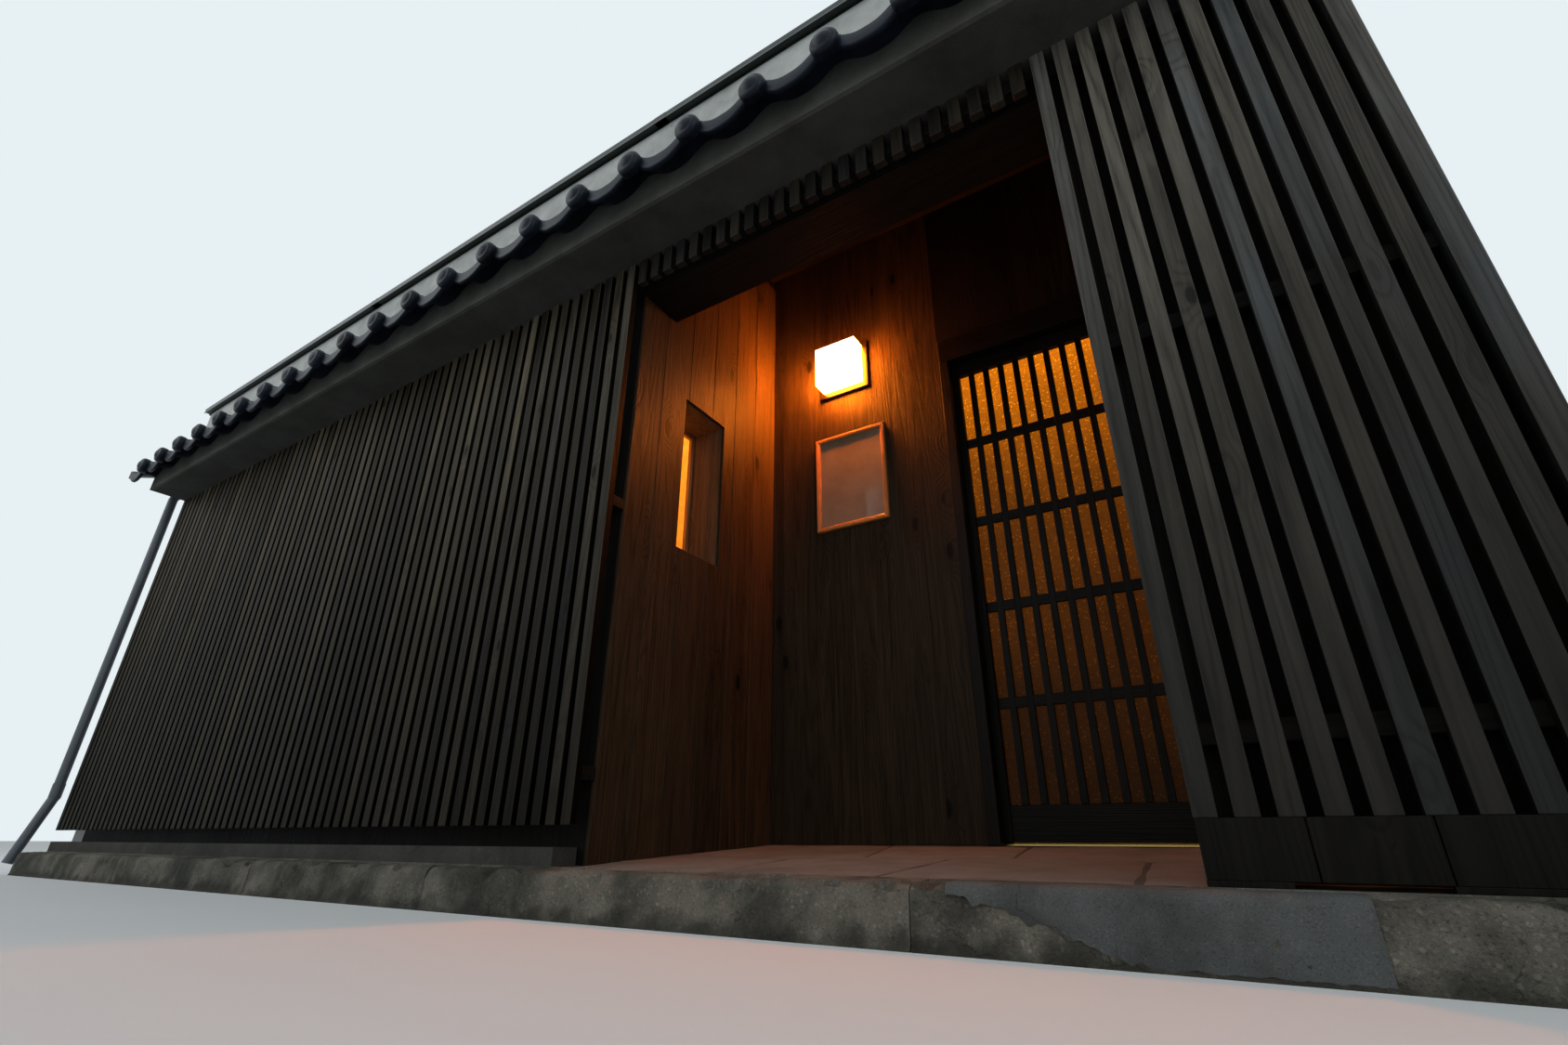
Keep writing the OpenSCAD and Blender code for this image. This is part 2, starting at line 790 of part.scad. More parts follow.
// A quarter bend of pipe round the origin, from one angle on
module quarter_bend(from) {
    rotate([0, 0, from]) rotate_extrude(angle = 90) translate([pipe_bend_r, 0]) circle(r = pipe_r);
}

module downpipe() {
    r = pipe_bend_r;
    color("slategray") street() {
        translate([pipe_x, pipe_y, pipe_knee_z]) {
            rotate([-pipe_lean, 0, 0]) mirror([0, 0, 1]) cylinder(r = pipe_r, h = pipe_foot_l);
            sphere(r = pipe_r + pipe_socket_t);
            cylinder(r = pipe_r + pipe_socket_t, h = pipe_socket_l);
        }
        translate([pipe_x, pipe_y, pipe_knee_z]) cylinder(r = pipe_r, h = pipe_turn_z - r - pipe_knee_z);
        translate([pipe_x, pipe_y + r, pipe_turn_z - r]) rotate([90, 0, 90]) quarter_bend(90);
        translate([pipe_x, pipe_back_y - r, pipe_turn_z]) rotate([90, 0, 0])
            cylinder(r = pipe_r, h = pipe_back_y - pipe_y - 2 * r);
        translate([pipe_x, pipe_back_y - r, pipe_turn_z + r]) rotate([90, 0, 90]) quarter_bend(270);
        translate([pipe_x, pipe_back_y, pipe_turn_z + r])
            cylinder(r = pipe_r, h = pipe_out_z - pipe_turn_z - 2 * r);
        translate([pipe_x + r, pipe_back_y, pipe_out_z - r]) rotate([90, 0, 0]) quarter_bend(90);
        translate([pipe_x + r, pipe_back_y, pipe_out_z]) rotate([0, 90, 0])
            cylinder(r = pipe_r, h = x_left - pipe_x - r);
    }
}

front_kerb();
left_plinth();
porch_floor();
floor_slab();
left_party_wall();
right_party_wall();
rear_wall();
left_front_wall();
recess_side_wall();
slit_window_frame();
slit_window_glass();
recess_wall_left();
pocket_lining();
recess_wall_right();
recess_wall_over_door();
upper_front_wall();
coping();
entry_lintel();
soffit();
fascia();
eave_end_caps();
eave_deck();
eave_tiles();
roof_deck_front();
roof_deck_rear();
roof_tiles_front();
roof_tiles_rear();
roof_ridge();
box_gutter();
left_screen();
entry_stubs();
right_screen();
right_backing();
right_skirt();
door_frame();
door_track();
door_leaf();
door_lattice();
door_glass();
lamp_base();
lamp_shade();
sign_frame();
sign_panel();
downpipe();
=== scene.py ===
"""Looks of a machiya townhouse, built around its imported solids.

The street front faces -Y. Each class below is one sub-assembly of the house: it reads the places of
its solids, works out finer surfaces for them with numpy, and dresses both with procedural finishes.
Lengths are in metres.
"""
from __future__ import annotations

import json
import logging
import math
from dataclasses import dataclass, replace
from enum import Enum
from typing import Any, Sequence

import bmesh
import bpy
import numpy as np
from mathutils import Matrix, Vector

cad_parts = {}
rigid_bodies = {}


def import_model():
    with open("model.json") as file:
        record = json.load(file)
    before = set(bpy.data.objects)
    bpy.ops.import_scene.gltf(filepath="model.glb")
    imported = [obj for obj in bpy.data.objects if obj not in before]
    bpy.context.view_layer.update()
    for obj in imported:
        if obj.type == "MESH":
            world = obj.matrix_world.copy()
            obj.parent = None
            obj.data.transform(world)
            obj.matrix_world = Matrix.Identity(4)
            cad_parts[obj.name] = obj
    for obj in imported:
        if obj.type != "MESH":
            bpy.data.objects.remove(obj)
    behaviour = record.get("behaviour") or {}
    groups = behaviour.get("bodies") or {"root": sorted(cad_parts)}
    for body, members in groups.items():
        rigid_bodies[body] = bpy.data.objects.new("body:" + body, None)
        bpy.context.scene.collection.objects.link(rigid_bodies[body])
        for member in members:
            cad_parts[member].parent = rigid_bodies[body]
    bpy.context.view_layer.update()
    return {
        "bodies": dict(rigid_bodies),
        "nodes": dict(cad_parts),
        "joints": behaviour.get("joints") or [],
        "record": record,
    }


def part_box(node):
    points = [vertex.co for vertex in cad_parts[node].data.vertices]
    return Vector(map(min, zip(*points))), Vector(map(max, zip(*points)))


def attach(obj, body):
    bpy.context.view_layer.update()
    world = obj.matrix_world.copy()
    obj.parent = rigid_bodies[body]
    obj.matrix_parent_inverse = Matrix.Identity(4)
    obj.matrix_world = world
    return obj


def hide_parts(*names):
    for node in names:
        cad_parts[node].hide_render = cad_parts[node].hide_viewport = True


Array = np.ndarray
Colour = tuple[float, float, float]
Span = tuple[float, float]

LOG = logging.getLogger("townhouse")

ROOF_SLOPE = 0.4
STEEP = math.hypot(1.0, ROOF_SLOPE)
TILE_COLUMNS = 24
TILE_THICKNESS = 0.020
TILE_WAVE = 0.048
CREST_SHARPNESS = 1.5
RIDGE_HALF = 0.100
CORE_CHAMFER = 0.0003


class Body(Enum):
    """A body that a piece rides on."""

    HOUSE = "house"
    DOOR = "door"


class Axis(Enum):
    """A row axis, as the place of its coordinate in a point."""

    X = 0
    Y = 1
    Z = 2


class Grain(Enum):
    """The way that a board's fibres run, as stretch factors of its pattern along X, Y and Z."""

    UPRIGHT = (1.0, 1.0, 0.045)
    ALONG_STREET = (0.045, 1.0, 1.0)

    @property
    def axis(self) -> int:
        """Place of the coordinate that runs along the fibres."""
        return int(np.argmin(self.value))


@dataclass(frozen=True)
class Extent:
    """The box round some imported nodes: its ends seen from the street, and its lowest and highest level."""

    left: float
    right: float
    front: float
    back: float
    foot: float
    top: float

    @classmethod
    def of(cls, *nodes: str) -> "Extent":
        """The box that holds some nodes.

        Args:
            nodes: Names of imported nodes.

        Returns:
            Their common extent.
        """
        boxes = np.array([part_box(node) for node in nodes])
        return cls(*np.stack([boxes[:, 0].min(0), boxes[:, 1].max(0)], 1).ravel())


# Surfaces worked out with numpy


@dataclass
class Surface:
    """Points with the faces between them and one seed a point.

    Attributes:
        points: Places, one row a point.
        faces: Arrays of point numbers, each array with faces of one corner count.
        seeds: A number from 0 to 1 for each point, the same all over one board, tile or stone.
    """

    points: Array
    faces: list[Array]
    seeds: Array

    @classmethod
    def joined(cls, parts: Sequence["Surface"]) -> "Surface":
        """One surface from several.

        Args:
            parts: The surfaces.

        Returns:
            A surface that holds them all, unmerged.
        """
        starts = np.cumsum([0] + [len(part.points) for part in parts[:-1]])
        faces = [face + start for part, start in zip(parts, starts) for face in part.faces]
        return cls(np.concatenate([part.points for part in parts]), faces,
                   np.concatenate([part.seeds for part in parts]))


def seeded(count: int, salt: int) -> Array:
    """Repeatable seeds from 0 to 1.

    Args:
        count: How many are wanted.
        salt: A number that tells one piece's seeds from another's.

    Returns:
        The seeds.
    """
    return np.random.default_rng(salt).random(count)


def ripple(points: Array, wavelength: float, salt: int) -> Array:
    """Smooth unevenness: the mean of eight sine waves in scattered directions.

    Args:
        points: Places, with X, Y and Z on the last axis.
        wavelength: Mean length of the waves.
        salt: Tells one piece's waves from another's.

    Returns:
        A height from about -1 to 1 for each place.
    """
    draw = np.random.default_rng(salt)
    directions = draw.normal(size=(8, 3))
    directions /= np.linalg.norm(directions, axis=1, keepdims=True)
    turns = directions * (2 * math.pi / (wavelength * draw.uniform(0.6, 1.6, (8, 1))))
    return np.sin(points @ turns.T + draw.uniform(0, 2 * math.pi, 8)).sum(-1) / 3.5


def block_template() -> tuple[Array, Array, list[Array]]:
    """Corners and faces of a chamfered block.

    Each of the 8 corners of a cube has 3 points, one on each face that meets there, so that the
    faces are joined by 12 strips along the edges and 8 triangles at the corners.

    Returns:
        The side of each point's corner as (24, 3) signs, the axis whose face each point lies on,
        and the faces with their corners turned outwards.
    """
    sides = np.array([[x, y, z] for x in (-1, 1) for y in (-1, 1) for z in (-1, 1)], float)
    signs = np.repeat(sides, 3, axis=0)
    axes = np.tile([0, 1, 2], 8)
    places = signs * 1.0
    places[np.arange(24), axes] *= 1.5
    first_points = 3 * np.arange(8).reshape(2, 2, 2)
    quads = []
    for axis in range(3):
        b, c = [other for other in range(3) if other != axis]
        corner = np.moveaxis(first_points, axis, 0)
        for side in (0, 1):
            quads.append([corner[side, i, j] + axis for i, j in ((0, 0), (1, 0), (1, 1), (0, 1))])
        for i in (0, 1):
            for j in (0, 1):
                low, high = corner[:, i, j]
                quads.append([low + b, high + b, high + c, low + c])
    faces = []
    for group in (np.array(quads), np.arange(24).reshape(8, 3)):
        normal = np.cross(places[group[:, 1]] - places[group[:, 0]],
                          places[group[:, 2]] - places[group[:, 1]])
        inward = (normal * places[group].mean(1)).sum(1) < 0
        group[inward] = group[inward][:, ::-1]
        faces.append(group)
    return signs, axes, faces


BLOCK_SIGNS, BLOCK_AXES, BLOCK_FACES = block_template()


def blocks(spans: Any, chamfer: float, seeds: Any) -> Surface:
    """Many chamfered blocks at once.

    A point on the face across one axis lies at the full half size along that axis, and at the
    half size less the chamfer along the other two.

    Args:
        spans: Ends of each block along X, Y and Z, as (block, axis, end).
        chamfer: Width of the chamfer.
        seeds: One seed a block.

    Returns:
        The blocks' closed surfaces.
    """
    spans = np.asarray(spans, float)
    lows, highs = spans[..., 0], spans[..., 1]
    middle, half = (lows + highs) / 2, (highs - lows) / 2
    cut = np.minimum(chamfer, 0.45 * half.min(1, keepdims=True))
    reach = half[:, None, :] - cut[:, None, :] * (np.arange(3) != BLOCK_AXES[:, None])
    points = middle[:, None, :] + BLOCK_SIGNS * reach
    starts = 24 * np.arange(len(lows))[:, None, None]
    faces = [(face[None] + starts).reshape(-1, face.shape[1]) for face in BLOCK_FACES]
    return Surface(points.reshape(-1, 3), faces, np.repeat(np.asarray(seeds, float), 24))


def block_row(axis: Axis, starts: Array, width: float | Array, others: Sequence[Span], chamfer: float,
              salt: int) -> Surface:
    """A row of blocks that share all but their places along one axis.

    Args:
        axis: The axis that the row runs along.
        starts: Low ends of the blocks along it.
        width: Size of each block along it.
        others: Ends of every block along the other two axes.
        chamfer: Width of the chamfers.
        salt: Salt of the seeds.

    Returns:
        The blocks' surfaces.
    """
    shared = list(others)
    shared.insert(axis.value, (0.0, 0.0))
    spans = np.repeat(np.array(shared, float)[None], len(starts), 0)
    spans[:, axis.value] = np.stack([starts, starts + width], 1)
    return blocks(spans, chamfer, seeded(len(spans), salt))


def grid_quads(rows: int, columns: int, closed_columns: bool = False) -> Array:
    """Faces of a grid of points that are numbered row by row.

    Args:
        rows: Points down the grid.
        columns: Points across the grid.
        closed_columns: Whether the last column joins the first.

    Returns:
        The faces, four point numbers each.
    """
    down = np.arange(rows - 1)[:, None]
    across = np.arange(columns if closed_columns else columns - 1)[None]
    below, beside = down + 1, (across + 1) % columns
    corners = [down * columns + across, down * columns + beside,
               below * columns + beside, below * columns + across]
    return np.stack(np.broadcast_arrays(*corners), -1).reshape(-1, 4)


def stations(xs: Any, ys: Array, zs: Array) -> Array:
    """A section's points at places along X.

    Args:
        xs: The places.
        ys: Depths of the section's points, in one row or in a row a place.
        zs: Their heights, likewise.

    Returns:
        Points as (place, place round the section, 3).
    """
    return np.stack(np.broadcast_arrays(np.asarray(xs)[:, None], ys, zs), -1)


def sweep(sections: Array, seed: float = 0.5) -> Surface:
    """A closed profile carried through several stations, capped at both ends.

    Args:
        sections: Points as (station, place round the profile, 3).
        seed: The surface's seed.

    Returns:
        A tube with a flat face on each end.
    """
    count, around, _ = sections.shape
    quads = grid_quads(count, around, closed_columns=True)
    caps = np.array([np.arange(around)[::-1], (count - 1) * around + np.arange(around)])
    points = sections.reshape(-1, 3)
    return Surface(points, [quads, caps], np.full(len(points), seed))


def sheets(tops: Array, bottoms: Array, seeds: Array) -> Surface:
    """Closed sheets, each between a top grid and a bottom grid of points.

    Args:
        tops: Upper points as (sheet, row, column, 3).
        bottoms: Lower points, of the same shape.
        seeds: One seed a sheet.

    Returns:
        Each sheet's top, bottom and rim.
    """
    count, rows, columns, _ = tops.shape
    number = np.arange(rows * columns).reshape(rows, columns)
    rim = np.concatenate([number[0, :-1], number[:-1, -1], number[-1, :0:-1], number[:0:-1, 0]])
    after = np.roll(rim, -1)
    layer = rows * columns
    quads = grid_quads(rows, columns)
    one = np.concatenate([quads, quads[:, ::-1] + layer,
                          np.stack([rim, rim + layer, after + layer, after], 1)])
    starts = (2 * layer * np.arange(count))[:, None, None]
    points = np.stack([tops.reshape(count, layer, 3), bottoms.reshape(count, layer, 3)], 1)
    return Surface(points.reshape(-1, 3), [(one[None] + starts).reshape(-1, 4)],
                   np.repeat(np.asarray(seeds, float), 2 * layer))


def oblong(start: float, end: float, low: float, high: float) -> list[list[float]]:
    """Corners of an oblong, counter-clockwise from its lower left one."""
    return [[start, low], [end, low], [end, high], [start, high]]


def outlined(axis: Axis, outline: Any, back: float, front: float, chamfer: float, seed: float) -> Surface:
    """A flat board cut to an outline, with a chamfer round its front.

    Each corner of the front face is moved inwards by the chamfer along the inward normals of the
    two edges that meet there.

    Args:
        axis: The axis that the board's thickness runs along.
        outline: Corners across that axis, counter-clockwise.
        back: Place of the hidden face along the axis.
        front: Place of the shown face along the axis.
        chamfer: Width of the chamfer round the shown face.
        seed: The board's seed.

    Returns:
        The board's closed surface.
    """
    outline = np.asarray(outline, float)
    ahead = np.roll(outline, -1, 0) - outline
    ahead /= np.linalg.norm(ahead, axis=1, keepdims=True)
    inward = np.stack([-ahead[:, 1], ahead[:, 0]], 1)
    before = np.roll(inward, 1, 0)
    inset = outline + chamfer * (inward + before) / (1 + (inward * before).sum(1, keepdims=True))
    step = math.copysign(chamfer, front - back)
    rings = [(outline, back), (outline, front - step), (inset, front)]
    others = [other for other in range(3) if other != axis.value]
    sections = np.empty((3, len(outline), 3))
    for ring, (flat, depth) in zip(sections, rings):
        ring[:, others] = flat
        ring[:, axis.value] = depth
    return sweep(sections, seed)


def rounded_block(box: Extent, radius: float, steps: int) -> Surface:
    """A block with round edges and corners.

    A grid on each face of the block is pulled in: a point is clamped to the block less its
    radius, and then pushed back out by the radius along the way it was clamped.

    Args:
        box: The block's extent.
        radius: Radius of the edges.
        steps: Points across each rounding.

    Returns:
        The surface, with doubled points along its seams.
    """
    low, high = np.array([[box.left, box.front, box.foot], [box.right, box.back, box.top]])
    middle, half = (low + high) / 2, (high - low) / 2
    bend = np.sin(np.linspace(0, math.pi / 4, steps)) / math.sin(math.pi / 4)
    parts = []
    for axis in range(3):
        b, c = (axis + 1) % 3, (axis + 2) % 3
        lines = [np.concatenate([-half[k] + radius * (1 - bend[::-1]), half[k] - radius * (1 - bend)])
                 for k in (b, c)]
        across, along = np.meshgrid(*lines, indexing="ij")
        for side in (-1, 1):
            skin = np.empty(across.shape + (3,))
            skin[..., axis], skin[..., b], skin[..., c] = side * half[axis], across, along
            inner = np.clip(skin, -(half - radius), half - radius)
            out = skin - inner
            out /= np.linalg.norm(out, axis=-1, keepdims=True)
            points = (middle + inner + radius * out).reshape(-1, 3)
            quads = grid_quads(*across.shape)
            parts.append(Surface(points, [quads if side > 0 else quads[:, ::-1]], np.full(len(points), 0.5)))
    return Surface.joined(parts)


def lathe(profile: Array, centre: Any, segments: int, seed: float) -> Surface:
    """A profile turned about an axis that runs along Y through a centre.

    Args:
        profile: Points as [radius, place along Y], from one end on the axis to the other.
        centre: A point on the axis.
        segments: Steps round.
        seed: The surface's seed.

    Returns:
        The turned surface, with doubled points on its axis.
    """
    angle = np.linspace(0, 2 * math.pi, segments, endpoint=False)
    radius, along = profile[:, 0, None], profile[:, 1, None]
    ring = np.broadcast_arrays(radius * np.cos(angle), along, radius * np.sin(angle))
    points = (np.stack(ring, -1) + centre).reshape(-1, 3)
    return Surface(points, [grid_quads(len(profile), segments, closed_columns=True)],
                   np.full(len(points), seed))


def make_mesh(name: str, surface: Surface, smooth: float | None) -> bpy.types.Mesh:
    """A mesh from a surface, with its doubles merged and its faces turned outwards.

    Args:
        name: The mesh's name.
        surface: Its points and faces.
        smooth: Angle in degrees up to which faces shade as one, or None for flat faces.

    Returns:
        The mesh, with the seeds as an attribute.
    """
    mesh = bpy.data.meshes.new(name)
    loops = np.concatenate([face.ravel() for face in surface.faces])
    sizes = np.concatenate([np.full(len(face), face.shape[1]) for face in surface.faces])
    starts = np.concatenate([[0], np.cumsum(sizes)[:-1]])
    mesh.vertices.add(len(surface.points))
    mesh.vertices.foreach_set("co", surface.points.astype(np.float32).ravel())
    mesh.loops.add(len(loops))
    mesh.loops.foreach_set("vertex_index", loops.astype(np.int32))
    mesh.polygons.add(len(sizes))
    mesh.polygons.foreach_set("loop_start", starts.astype(np.int32))
    mesh.update(calc_edges=True)
    seeds = mesh.attributes.new("seed", "FLOAT", "POINT")
    seeds.data.foreach_set("value", surface.seeds.astype(np.float32))
    work = bmesh.new()
    work.from_mesh(mesh)
    bmesh.ops.remove_doubles(work, verts=work.verts, dist=1e-5)
    bmesh.ops.recalc_face_normals(work, faces=work.faces)
    work.to_mesh(mesh)
    work.free()
    mesh.polygons.foreach_set("use_smooth", np.full(len(mesh.polygons), smooth is not None))
    if smooth is not None:
        mesh.set_sharp_from_angle(angle=math.radians(smooth))
    return mesh


def make_piece(name: str, surface: Surface, finish: "Finish", body: Body = Body.HOUSE,
               replaces: Sequence[str] = (), smooth: float | None = None) -> None:
    """One finished piece from a surface.

    Args:
        name: The piece's name.
        surface: Its points and faces.
        finish: Its finish.
        body: The body that it rides on.
        replaces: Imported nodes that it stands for.
        smooth: Angle in degrees up to which faces shade as one, or None for flat faces.
    """
    mesh = make_mesh(name, surface, smooth)
    mesh.materials.append(finish.material())
    piece = bpy.data.objects.new(name, mesh)
    bpy.context.scene.collection.objects.link(piece)
    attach(piece, body.value)
    if replaces:
        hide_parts(*replaces)
    LOG.info("%s: %d points, %d faces on %s", name, len(mesh.vertices), len(mesh.polygons), body.value)


# Shader tools


class Wire:
    """A socket that takes part in sums: each operator adds the Math node that it stands for."""

    def __init__(self, graph: "Graph", socket: bpy.types.NodeSocket) -> None:
        """Wraps one socket of a graph."""
        self.graph = graph
        self.socket = socket

    def __add__(self, other: Any) -> "Wire":
        """Sum."""
        return self.graph.math("ADD", self, other)

    __radd__ = __add__

    def __sub__(self, other: Any) -> "Wire":
        """Difference."""
        return self.graph.math("SUBTRACT", self, other)

    def __rsub__(self, other: Any) -> "Wire":
        """Difference from a number."""
        return self.graph.math("SUBTRACT", other, self)

    def __mul__(self, other: Any) -> "Wire":
        """Product."""
        return self.graph.math("MULTIPLY", self, other)

    __rmul__ = __mul__

    def __truediv__(self, other: Any) -> "Wire":
        """Quotient."""
        return self.graph.math("DIVIDE", self, other)

    def __rpow__(self, base: Any) -> "Wire":
        """A number to this power."""
        return self.graph.math("POWER", base, self)

    def sine(self) -> "Wire":
        """Sine, of radians."""
        return self.graph.math("SINE", self)

    def fraction(self) -> "Wire":
        """Part after the point."""
        return self.graph.math("FRACT", self)

    def size(self) -> "Wire":
        """Distance from 0."""
        return self.graph.math("ABSOLUTE", self)

    def least(self, other: Any) -> "Wire":
        """The smaller of the two."""
        return self.graph.math("MINIMUM", self, other)

    def most(self, other: Any) -> "Wire":
        """The larger of the two."""
        return self.graph.math("MAXIMUM", self, other)

    def kept(self) -> "Wire":
        """The value, held between 0 and 1."""
        return self.most(0.0).least(1.0)

    def step(self, low: float, high: float) -> "Wire":
        """A smooth step from 0 at one value to 1 at another.

        Args:
            low: Value at which the step starts.
            high: Value at which it ends; it may lie below the start.

        Returns:
            The step.
        """
        if low > high:
            return 1 - self.step(high, low)
        return self.graph.wire("ShaderNodeMapRange", {"interpolation_type": "SMOOTHSTEP"},
                               {"Value": self, "From Min": low, "From Max": high}, "Result")


class Graph:
    """The node tree of a material or of the world."""

    def __init__(self, tree: bpy.types.NodeTree) -> None:
        """Takes a tree and empties it."""
        self.tree = tree
        self.tree.nodes.clear()

    def node(self, kind: str, settings: dict[str, Any] | None = None,
             inputs: dict[Any, Any] | None = None) -> bpy.types.Node:
        """Any node.

        Args:
            kind: The node's type.
            settings: Its settings, which are set first.
            inputs: Values or wires for its sockets, by name or place.

        Returns:
            The node.
        """
        node = self.tree.nodes.new(kind)
        for key, value in (settings or {}).items():
            setattr(node, key, value)
        for key, value in (inputs or {}).items():
            if isinstance(value, Wire):
                self.tree.links.new(value.socket, node.inputs[key])
            else:
                node.inputs[key].default_value = value
        return node

    def wire(self, kind: str, settings: dict[str, Any] | None = None, inputs: dict[Any, Any] | None = None,
             output: int | str = 0) -> Wire:
        """One outcome of a new node.

        Args:
            kind: The node's type.
            settings: Its settings.
            inputs: Values or wires for its sockets.
            output: Name or place of the outcome's socket.

        Returns:
            The outcome.
        """
        return Wire(self, self.node(kind, settings, inputs).outputs[output])

    def math(self, operation: str, *values: Any) -> Wire:
        """A Math node's outcome."""
        return self.wire("ShaderNodeMath", {"operation": operation}, dict(enumerate(values)))


class Bench(Graph):
    """The node tree of one material, with a Principled shader at its end."""

    def __init__(self, name: str) -> None:
        """Starts a material.

        Args:
            name: The material's name.
        """
        self.material = bpy.data.materials.new(name)
        self.material.use_nodes = True
        super().__init__(self.material.node_tree)
        self.shader = self.node("ShaderNodeBsdfPrincipled")
        self.node("ShaderNodeOutputMaterial", {}, {"Surface": Wire(self, self.shader.outputs["BSDF"])})

    def place(self) -> Wire:
        """Object coordinates."""
        return self.wire("ShaderNodeTexCoord", output="Object")

    def seed(self) -> Wire:
        """The seed of the board, tile or stone, and 0 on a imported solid."""
        return self.wire("ShaderNodeAttribute", {"attribute_name": "seed"}, output="Fac")

    def facing(self) -> tuple[Wire, Wire, Wire]:
        """The three parts of the direction that the bare face looks in."""
        return self.split(self.wire("ShaderNodeNewGeometry", output="True Normal"))

    def arris(self) -> Wire:
        """1 on a chamfer, whose face leans between two axes, and 0 on level and upright faces."""
        x, y, z = self.facing()
        return ((x * y).size() + (y * z).size() + (x * z).size()).step(0.15, 0.42)

    def split(self, where: Wire) -> tuple[Wire, Wire, Wire]:
        """The three coordinates of a vector."""
        node = self.node("ShaderNodeSeparateXYZ", {}, {"Vector": where})
        return tuple(Wire(self, node.outputs[axis]) for axis in "XYZ")

    def vector(self, x: Any, y: Any, z: Any) -> Wire:
        """A vector from three values."""
        return self.wire("ShaderNodeCombineXYZ", {}, {"X": x, "Y": y, "Z": z})

    def stretched(self, where: Wire, factors: Any) -> Wire:
        """A vector times three factors."""
        return self.wire("ShaderNodeVectorMath", {"operation": "MULTIPLY"}, {0: where, 1: factors})

    def moved(self, where: Wire, by: Any) -> Wire:
        """A vector plus another."""
        return self.wire("ShaderNodeVectorMath", {"operation": "ADD"}, {0: where, 1: by})

    def shuffled(self, x: float, y: float, z: float) -> Wire:
        """Object coordinates, moved by the seed times three lengths, so that no two boards match."""
        seed = self.seed()
        return self.moved(self.place(), self.vector(seed * x, seed * y, seed * z))

    def noise(self, where: Wire, scale: float, detail: float = 3.0, roughness: float = 0.5,
              distortion: float = 0.0) -> Wire:
        """Smooth noise from about 0.25 to 0.75.

        Args:
            where: Coordinates.
            scale: Bumps a metre.
            detail: Octaves of finer noise.
            roughness: Weight of the finer noise.
            distortion: How far the noise bends itself.

        Returns:
            The noise.
        """
        return self.wire("ShaderNodeTexNoise", {"noise_dimensions": "3D"},
                         {"Vector": where, "Scale": scale, "Detail": detail, "Roughness": roughness,
                          "Distortion": distortion}, "Fac")

    def cells(self, where: Wire, scale: float) -> tuple[Wire, Wire]:
        """A cell pattern.

        Args:
            where: Coordinates.
            scale: Cells a metre.

        Returns:
            Distance from the cell's middle, and a number from 0 to 1 for each cell.
        """
        node = self.node("ShaderNodeTexVoronoi", {"feature": "F1"}, {"Vector": where, "Scale": scale})
        lot = self.wire("ShaderNodeSeparateColor", {}, {"Color": Wire(self, node.outputs["Color"])}, "Red")
        return Wire(self, node.outputs["Distance"]), lot

    def cell_edges(self, where: Wire, scale: float) -> Wire:
        """Distance from the nearest edge of a cell pattern.

        Args:
            where: Coordinates.
            scale: Cells a metre.

        Returns:
            The distance.
        """
        return self.wire("ShaderNodeTexVoronoi", {"feature": "DISTANCE_TO_EDGE"},
                         {"Vector": where, "Scale": scale}, "Distance")

    def mix(self, factor: Any, first: Any, second: Any) -> Wire:
        """A colour between two.

        Args:
            factor: 0 for the first colour, 1 for the second.
            first: A colour or a wire.
            second: A colour or a wire.

        Returns:
            The colour.
        """
        colours = [c if isinstance(c, Wire) else (*c, 1.0) for c in (first, second)]
        return self.wire("ShaderNodeMix", {"data_type": "RGBA"}, {0: factor, 6: colours[0], 7: colours[1]}, 2)

    def shaded(self, colour: Wire, factor: Any) -> Wire:
        """A colour times a value, where 1 leaves it as it is."""
        return self.stretched(colour, self.vector(factor, factor, factor))

    def bumped(self, height: Wire, distance: float) -> Wire:
        """A normal from a height, with the depth of its relief."""
        return self.wire("ShaderNodeBump", {}, {"Height": height, "Distance": distance, "Strength": 1.0})

    def finish(self, **inputs: Any) -> bpy.types.Material:
        """Sets the shader's sockets.

        Args:
            inputs: Values or wires, by the sockets' names with underscores for spaces.

        Returns:
            The material.
        """
        for key, value in inputs.items():
            socket = self.shader.inputs[key.replace("_", " ")]
            if isinstance(value, Wire):
                self.tree.links.new(value.socket, socket)
            elif isinstance(value, tuple):
                socket.default_value = (*value, 1.0)
            else:
                socket.default_value = value
        return self.material


# Finishes


def dimmed(colour: Colour, factor: float) -> Colour:
    """A colour times a number."""
    return tuple(factor * part for part in colour)


@dataclass(frozen=True)
class Finish:
    """A finish with a name. Its material is made once and shared."""

    name: str

    def material(self) -> bpy.types.Material:
        """The finish's material, made on first use, under a name that no packed material has."""
        label = f"{self.name}_dressed"
        return bpy.data.materials.get(label) or self.dress(Bench(label))

    def dress(self, bench: Bench) -> bpy.types.Material:
        """Builds the material.

        Args:
            bench: An empty node tree.

        Returns:
            The material.
        """
        raise NotImplementedError


